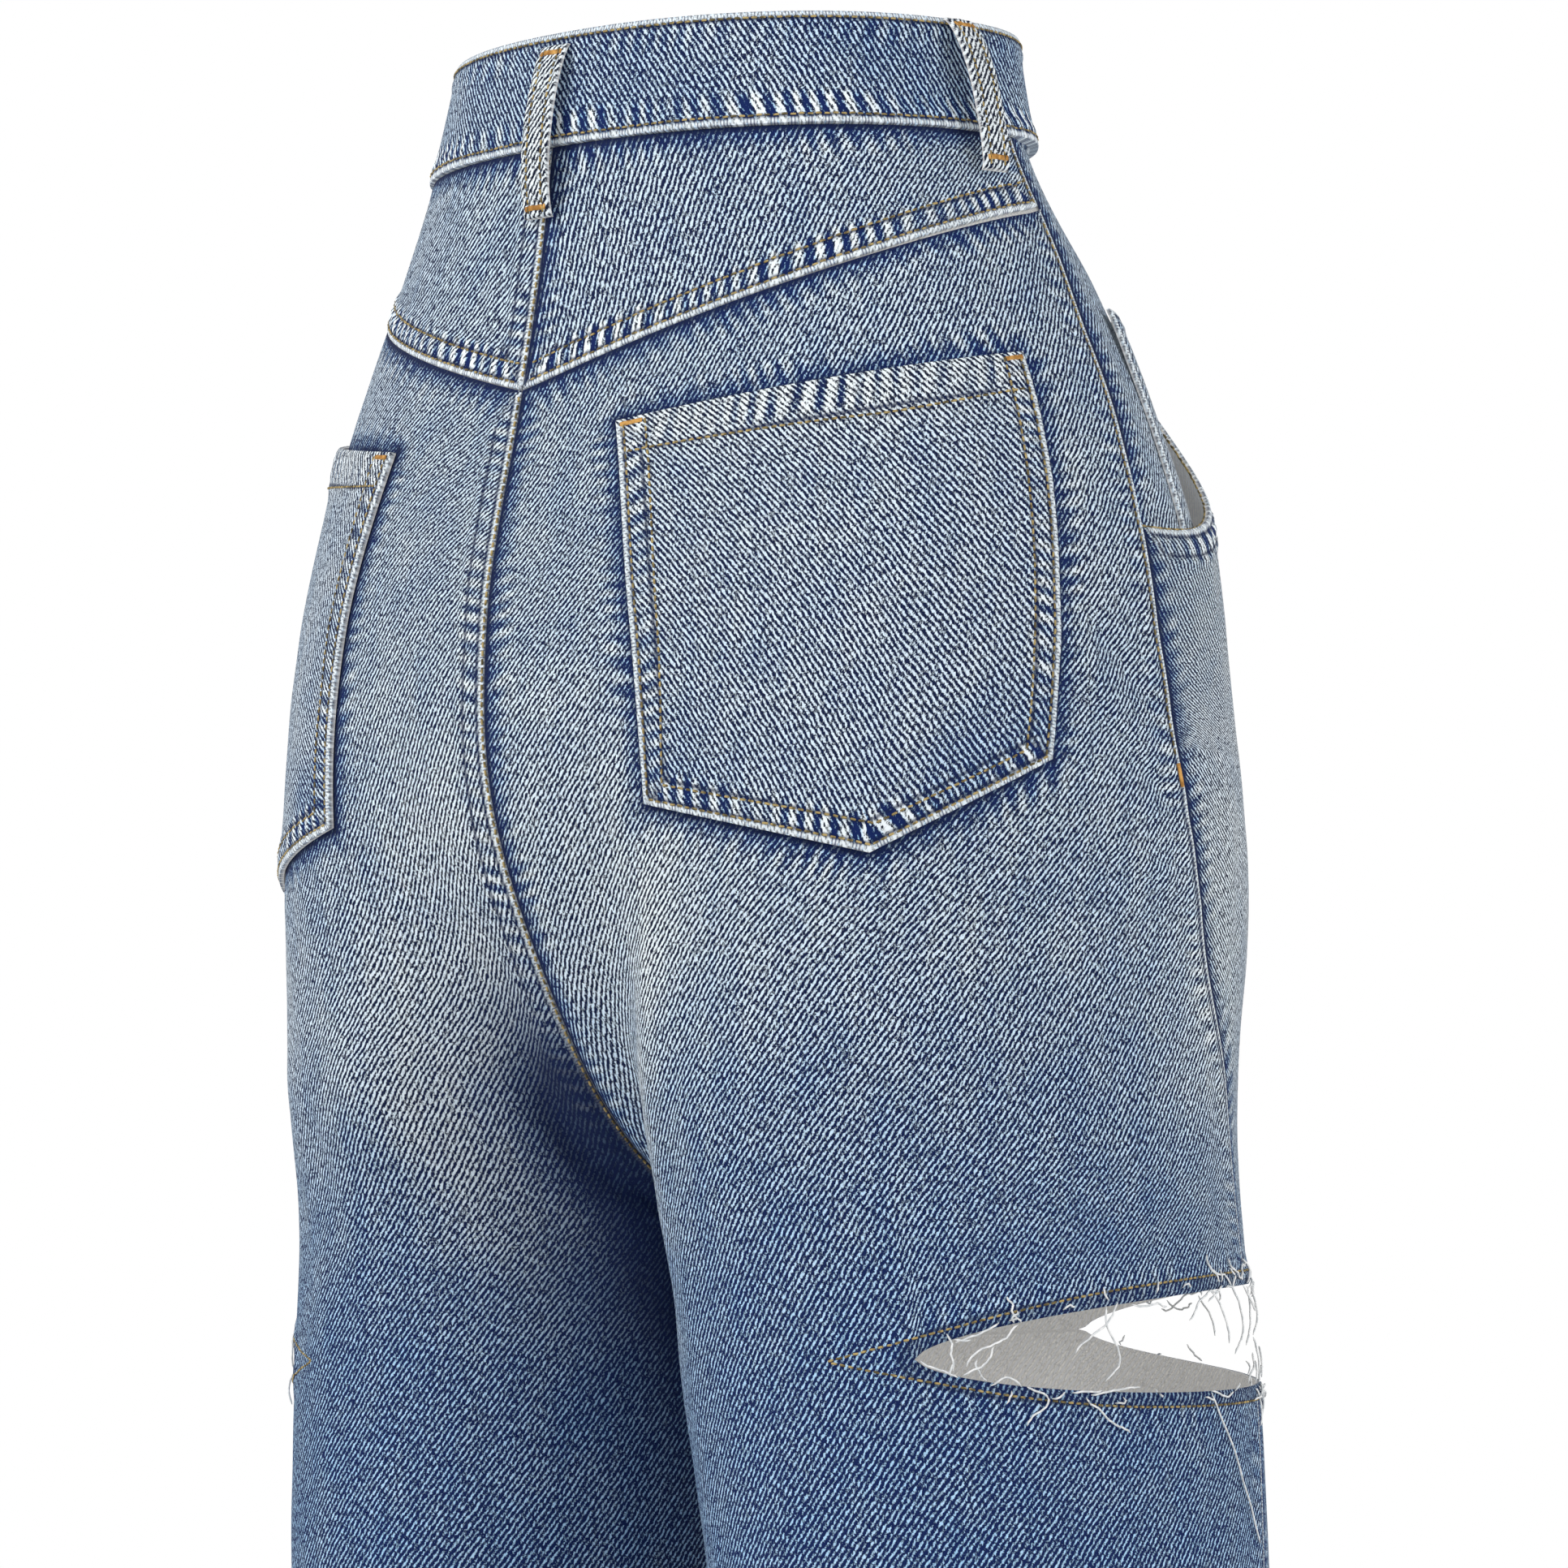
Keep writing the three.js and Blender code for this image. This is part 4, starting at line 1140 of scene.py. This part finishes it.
build(waistband(), "waistband", DENIM)
for side_name, side in SIDES.items():
    for cut, make in (("yoke", yoke), ("back", back_panel), ("front", front_panel)):
        build(make(side_name, side), f"{cut}_{side_name}", DENIM)
    pocket = back_pocket(side_name, side)
    build(pocket, f"back_pocket_{side_name}", PALE_DENIM)
    build(facing(side_name, side), f"pocket_facing_{side_name}", DENIM)
    for place in ("back", "front"):
        loop = f"belt_loop_{place}_{side_name}"
        build(belt_loop(loop), loop, LOOP_DENIM)
build(belt_loop("belt_loop_back"), "belt_loop_back", LOOP_DENIM)
build(coin_pocket(RIGHT), "coin_pocket", PALE_DENIM)
build(fly_strip(), "fly", DENIM)
build(button(), "button", BRASS)

# ---- where the stitches run --------------------------------------------------------------
LINE = 160              # points along a row
SIDE_ROW = 2.4          # mm from the side seam to its row
YOKE_ROWS, MOUTH_ROWS, CENTRE_ROWS, FLY_ROWS = (2.3, 9.2), (2.4, 9.0), (2.2, 8.8), (36.0, 41.0)
HEM_ROW = 13.0
ROW_START = 0.998       # station that a row along the centre is measured from


def beside_line(side, line, offset):
    """The points of a row offset mm beside a line, just over the cloth."""
    s, z = line
    s, z = beside(side, np.clip(s, -ROW_START, ROW_START), z, offset)
    return cloth(side, np.clip(s, -CENTRE, CENTRE), z, 1.0)


stitches = {}
groups = (("waist", 61), ("yoke", 62), ("back", 63), ("front", 64), ("pockets", 65), ("slash", 66))
for group, seed in groups:
    stitches[group] = Stitches(f"topstitch_{group}", TOPSTITCH, seed)
tacks = Stitches("bartacks", BARTACK, 67)

band_tree = surface_tree(pieces["waistband"])
band_r = np.linspace(-2.08, 2.08, 900)
for height in (BAND_TOP - 2.4, BAND_BOTTOM + 3.0):
    stitches["waist"].row(band_tree, ring(band_r, height, BAND["out"] + band_lift(band_r) + 1))

for side_name, side in SIDES.items():
    back_tree = surface_tree(pieces[f"back_{side_name}"])
    yoke_tree = surface_tree(pieces[f"yoke_{side_name}"])
    front_tree = surface_tree(pieces[f"front_{side_name}"])
    # yoke: two rows above its lower edge
    s = np.linspace(float(side_seam(YOKE_SIDE)) + 0.012, 0.99, LINE)
    for away in YOKE_ROWS:
        stitches["yoke"].row(yoke_tree, cloth(side, s, yoke_seam(s) + away, 1.0))
    # side seam: one row down to a bartack below the pocket mouth
    z = np.linspace(-52, -236, LINE)
    stitches["back"].row(back_tree, beside_line(side, (side_seam(z), z), -side * SIDE_ROW))
    z = np.linspace(-22, -46, 40)
    stitches["yoke"].row(yoke_tree, beside_line(side, (side_seam(z), z), -side * SIDE_ROW))
    # front pocket mouth: two rows inside its edge
    s, z = mouth_line(LINE)
    for away in MOUTH_ROWS:
        stitches["front"].row(front_tree, beside_line(side, (s, z), -side * away))
    # slash: rows outside the turned edges, running on to meet past each tip
    for sign in (1, -1):
        s = np.linspace(SLASH["tip_front"] - 0.08, SLASH["tip_back"] + 0.1, 3 * LINE)
        inside = np.clip(s, SLASH["tip_front"] + 0.05, SLASH["tip_back"] - 0.05)
        past = np.clip(np.abs(s - inside) / np.where(s > 0, 0.15, 0.13), 0, 1)
        beyond = slash_half(inside) + mix(4.8, 3.4, smooth((inside - 0.05) / 0.2))
        points = cloth(side, s, slash_middle(s) + sign * beyond * (1 - past), 1.0)
        behind_seam = s > side_seam(slash_middle(s))
        stitches["slash"].row(back_tree, points[behind_seam])
        stitches["slash"].row(front_tree, points[~behind_seam])
    # hem
    hem_seam = float(side_seam(HEM))
    for tree, start, end in ((back_tree, hem_seam, 0.995), (front_tree, -0.995, hem_seam)):
        s = np.linspace(start + 0.004, end - 0.004, 2 * LINE)
        stitches["front"].row(tree, cloth(side, s, HEM + HEM_ROW + 0 * s, 1.0))
    # back pocket: two rows round the sewn edges, one below the hem at its top
    pocket_tree = surface_tree(pieces[f"back_pocket_{side_name}"])
    for inset in (0.018, 0.068):
        t = np.linspace(0, 1, LINE)
        low = 1 - inset * 0.85
        u = np.concatenate([0 * t + inset, mix(inset, 1 - inset, t), 0 * t + 1 - inset])
        v = np.concatenate([mix(0.01, low, t), 0 * t + low, mix(low, 0.01, t)])
        for part in (slice(0, LINE), slice(LINE, 2 * LINE), slice(2 * LINE, 3 * LINE)):
            s, z = patch_place(side_name, u[part], v[part])
            stitches["pockets"].row(pocket_tree, cloth(side, s, z, 3.0))
    s, z = patch_place(side_name, np.linspace(0.02, 0.98, LINE), np.full(LINE, 0.093))
    stitches["pockets"].row(pocket_tree, cloth(side, s, z, 3.0))
    for u0, u1 in ((0.012, 0.062), (0.938, 0.988)):
        s, z = patch_place(side_name, np.array([u0, u1]), np.array([0.016, 0.016]))
        tacks.bar(pocket_tree, *cloth(side, s, z, 3.0))
    z = np.array([-238.0, -246.0])
    s = side_seam(z) + 0.008
    tacks.bar(back_tree, *cloth(side, s, z, 1.0))

# centre back: the left side laps over the right
left_back, left_yoke = surface_tree(pieces["back_left"]), surface_tree(pieces["yoke_left"])
for away in CENTRE_ROWS:
    for tree, top, bottom in ((left_yoke, -24.0, -104.0), (left_back, -110.0, CROTCH + 10)):
        z = np.linspace(top, bottom, LINE)
        stitches["back"].row(tree, beside_line(LEFT, (ROW_START + 0 * z, z), -away))
# centre front: the fly's curved row on the left side
left_front = surface_tree(pieces["front_left"])
t = np.linspace(0, 1, LINE)
round_turn = np.maximum(0, (t - 0.6) / 0.4)
straight = 0.81
z = -24.0 - 148.0 * np.where(
    t > 0.6, straight + (1 - straight) * np.sin(round_turn * math.pi / 2), straight * t / 0.6)
for away in FLY_ROWS:
    curve = away * np.sqrt(np.clip(1 - round_turn**2, 0, 1))
    stitches["front"].row(left_front, beside_line(LEFT, (-ROW_START + 0 * z, z), curve))

# belt loops: two rows and a bartack at each end
for piece_name, (r, top, bottom) in LOOPS.items():
    tree = surface_tree(pieces[piece_name])
    t = np.linspace(0.015, 0.985, LINE)
    for x in (-LOOP_ROW, LOOP_ROW):
        stitches["waist"].row(tree, loop_point(r, top, bottom, t, np.full(LINE, x), 1.0))
    for end in (0.045, 0.955):
        ends = loop_point(r, top, bottom, np.full(2, end), np.array([-4.6, 4.6]), 1.0)
        tacks.bar(tree, *ends, width=2.2)
for bag in stitches.values():
    bag.piece()
tacks.piece()

# ---- frayed threads ----------------------------------------------------------------------
THREAD = dict(radius=0.36, sides=5, step=1.5)
# Loose ends: station, upper edge or lower, how many, how spread, and how long in mm
TANGLES = [
    (0.21, 1, 4, 0.03, 26), (0.07, 1, 3, 0.02, 26), (-0.16, 1, 16, 0.09, 26), (-0.45, 1, 6, 0.06, 26),
    (0.25, -1, 4, 0.03, 18), (0.16, -1, 5, 0.05, 24), (-0.17, -1, 12, 0.07, 20),
    (-0.45, -1, 4, 0.06, 20),
]
HANGING = dict(s=-0.05, length=42)      # one long thread hangs from the lower edge
STUB_GAP = 0.06


def tubes(name, lines, radius, material):
    """Thin tubes along lines of points in mm, joined into one piece."""
    points, faces = [], []
    for line in lines:
        way = unit(np.gradient(line, axis=0))
        across = unit(np.cross(way, (0.3, 0.5, 0.81)))
        up = np.cross(way, across)
        start = len(points)
        sides = THREAD["sides"]
        for k in range(len(line)):
            size = radius * (0.35 if k in (0, len(line) - 1) else 1.0)
            for j in range(sides):
                turn = 2 * math.pi * j / sides
                points.append(line[k] + size * (across[k] * math.cos(turn) + up[k] * math.sin(turn)))
        for k in range(len(line) - 1):
            for j in range(sides):
                a, b = start + k * sides, start + (k + 1) * sides
                after = (j + 1) % sides
                faces.append((a + j, a + after, b + after, b + j))
        faces.append(tuple(start + j for j in reversed(range(sides))))
        faces.append(tuple(start + (len(line) - 1) * sides + j for j in range(sides)))
    return plain_piece(name, points, faces)


def loose_thread(side, dice, s, z, length, curl, drop):
    """A thread that starts on the cloth at s, z and wanders, in stations and heights."""
    count = max(5, int(length / THREAD["step"]))
    turn = dice.uniform(0, 2 * math.pi) + np.cumsum(dice.normal(0, curl, count))
    across = np.cumsum(np.cos(turn)) * THREAD["step"] * 0.8
    down = np.cumsum(np.sin(turn)) * THREAD["step"] * 0.8 - drop * np.linspace(0, length, count)
    out = 0.9 + 1.4 * np.sin(np.linspace(0, math.pi, count)) * dice.uniform(0.2, 1)
    return cloth(side, s + across / LEG_GIRTH, z + down, out)


def frayed(side_name, side):
    dice = np.random.default_rng(71 + side)
    lines = []
    for s0, sign, count, spread, length in TANGLES:
        for _ in range(count):
            s = s0 + dice.uniform(-spread, spread)
            start = slash_middle(s) + sign * slash_half(s) + sign * dice.uniform(-1.0, 1.5)
            size = length * dice.uniform(0.5, 1.2)
            lines.append(loose_thread(side, dice, s, start, size, 0.3, 0.35 * max(sign, 0.1)))
    s = HANGING["s"]
    start = slash_middle(s) - slash_half(s)
    lines.append(loose_thread(side, dice, s, start, HANGING["length"], 0.12, 0.9))
    # short stubs here and there along both lips
    for sign in (1, -1):
        for s in np.arange(SLASH["tip_front"] + 0.04, SLASH["tip_back"] - 0.02, STUB_GAP):
            edge = slash_middle(s) + sign * slash_half(s)
            lines.append(loose_thread(side, dice, s, edge + sign * 0.8, dice.uniform(3, 5), 0.7, 0.0))
    return tubes(f"frayed_threads_{side_name}", lines, THREAD["radius"], WHITE_THREAD)


for side_name, side in SIDES.items():
    build(frayed(side_name, side), f"fray_{side_name}", WHITE_THREAD)

# ---- camera, light and floor -------------------------------------------------------------
scene = bpy.context.scene
eye = bpy.data.cameras.new("camera")
eye.lens = 150
eye.sensor_width = 36
eye.clip_end = 60
camera = placed("camera", eye)
camera.location = (-1.539, 1.674, -0.433)
CAMERA_TURN, CAMERA_RISE = 222.03, 4.93      # degrees
camera.rotation_euler = (math.radians(90 + CAMERA_RISE), 0, math.radians(CAMERA_TURN))
scene.camera = camera

FLOOR_HALF, FLOOR_GAP = 4, 0.004
floor_mesh = bpy.data.meshes.new("floor")
corners = [(FLOOR_HALF * x, FLOOR_HALF * y, 0) for x, y in ((-1, -1), (1, -1), (1, 1), (-1, 1))]
floor_mesh.from_pydata(corners, [], [(0, 1, 2, 3)])
floor = placed("floor", floor_mesh)
floor.location = (0, 0, HEM * MM - FLOOR_GAP)
floor_mesh.materials.append(Nodes("floor").finish(Base_Color=(0.86, 0.86, 0.86, 1), Roughness=0.9))

world = bpy.data.worlds.new("studio")
world.use_nodes = True
sky = world.node_tree
facing_way = sky.nodes.new("ShaderNodeSeparateXYZ")
sky.links.new(sky.nodes.new("ShaderNodeTexCoord").outputs["Generated"], facing_way.inputs[0])
dim = sky.nodes.new("ShaderNodeMapRange")
for socket, number in zip(dim.inputs[1:5], (0.3, 0.6, 1.0, 0.3)):
    socket.default_value = number
sky.links.new(facing_way.outputs[2], dim.inputs[0])
sky.links.new(dim.outputs[0], sky.nodes["Background"].inputs[1])
sky.nodes["Background"].inputs[0].default_value = (1, 1, 1, 1)
scene.world = world
scene.view_settings.view_transform = "Standard"


def lamp(name, location, target, size, power):
    light = bpy.data.lights.new(name, "AREA")
    light.size = size
    light.energy = power
    lit = placed(name, light)
    lit.location = location
    lit.rotation_euler = (Vector(target) - Vector(location)).to_track_quat("-Z", "Y").to_euler()


lamp("key", (0.9, 2.6, 1.6), (0, 0, -0.3), 1.6, 56)
lamp("side", (-2.8, -0.6, 0.7), (0, 0, -0.4), 1.4, 27)
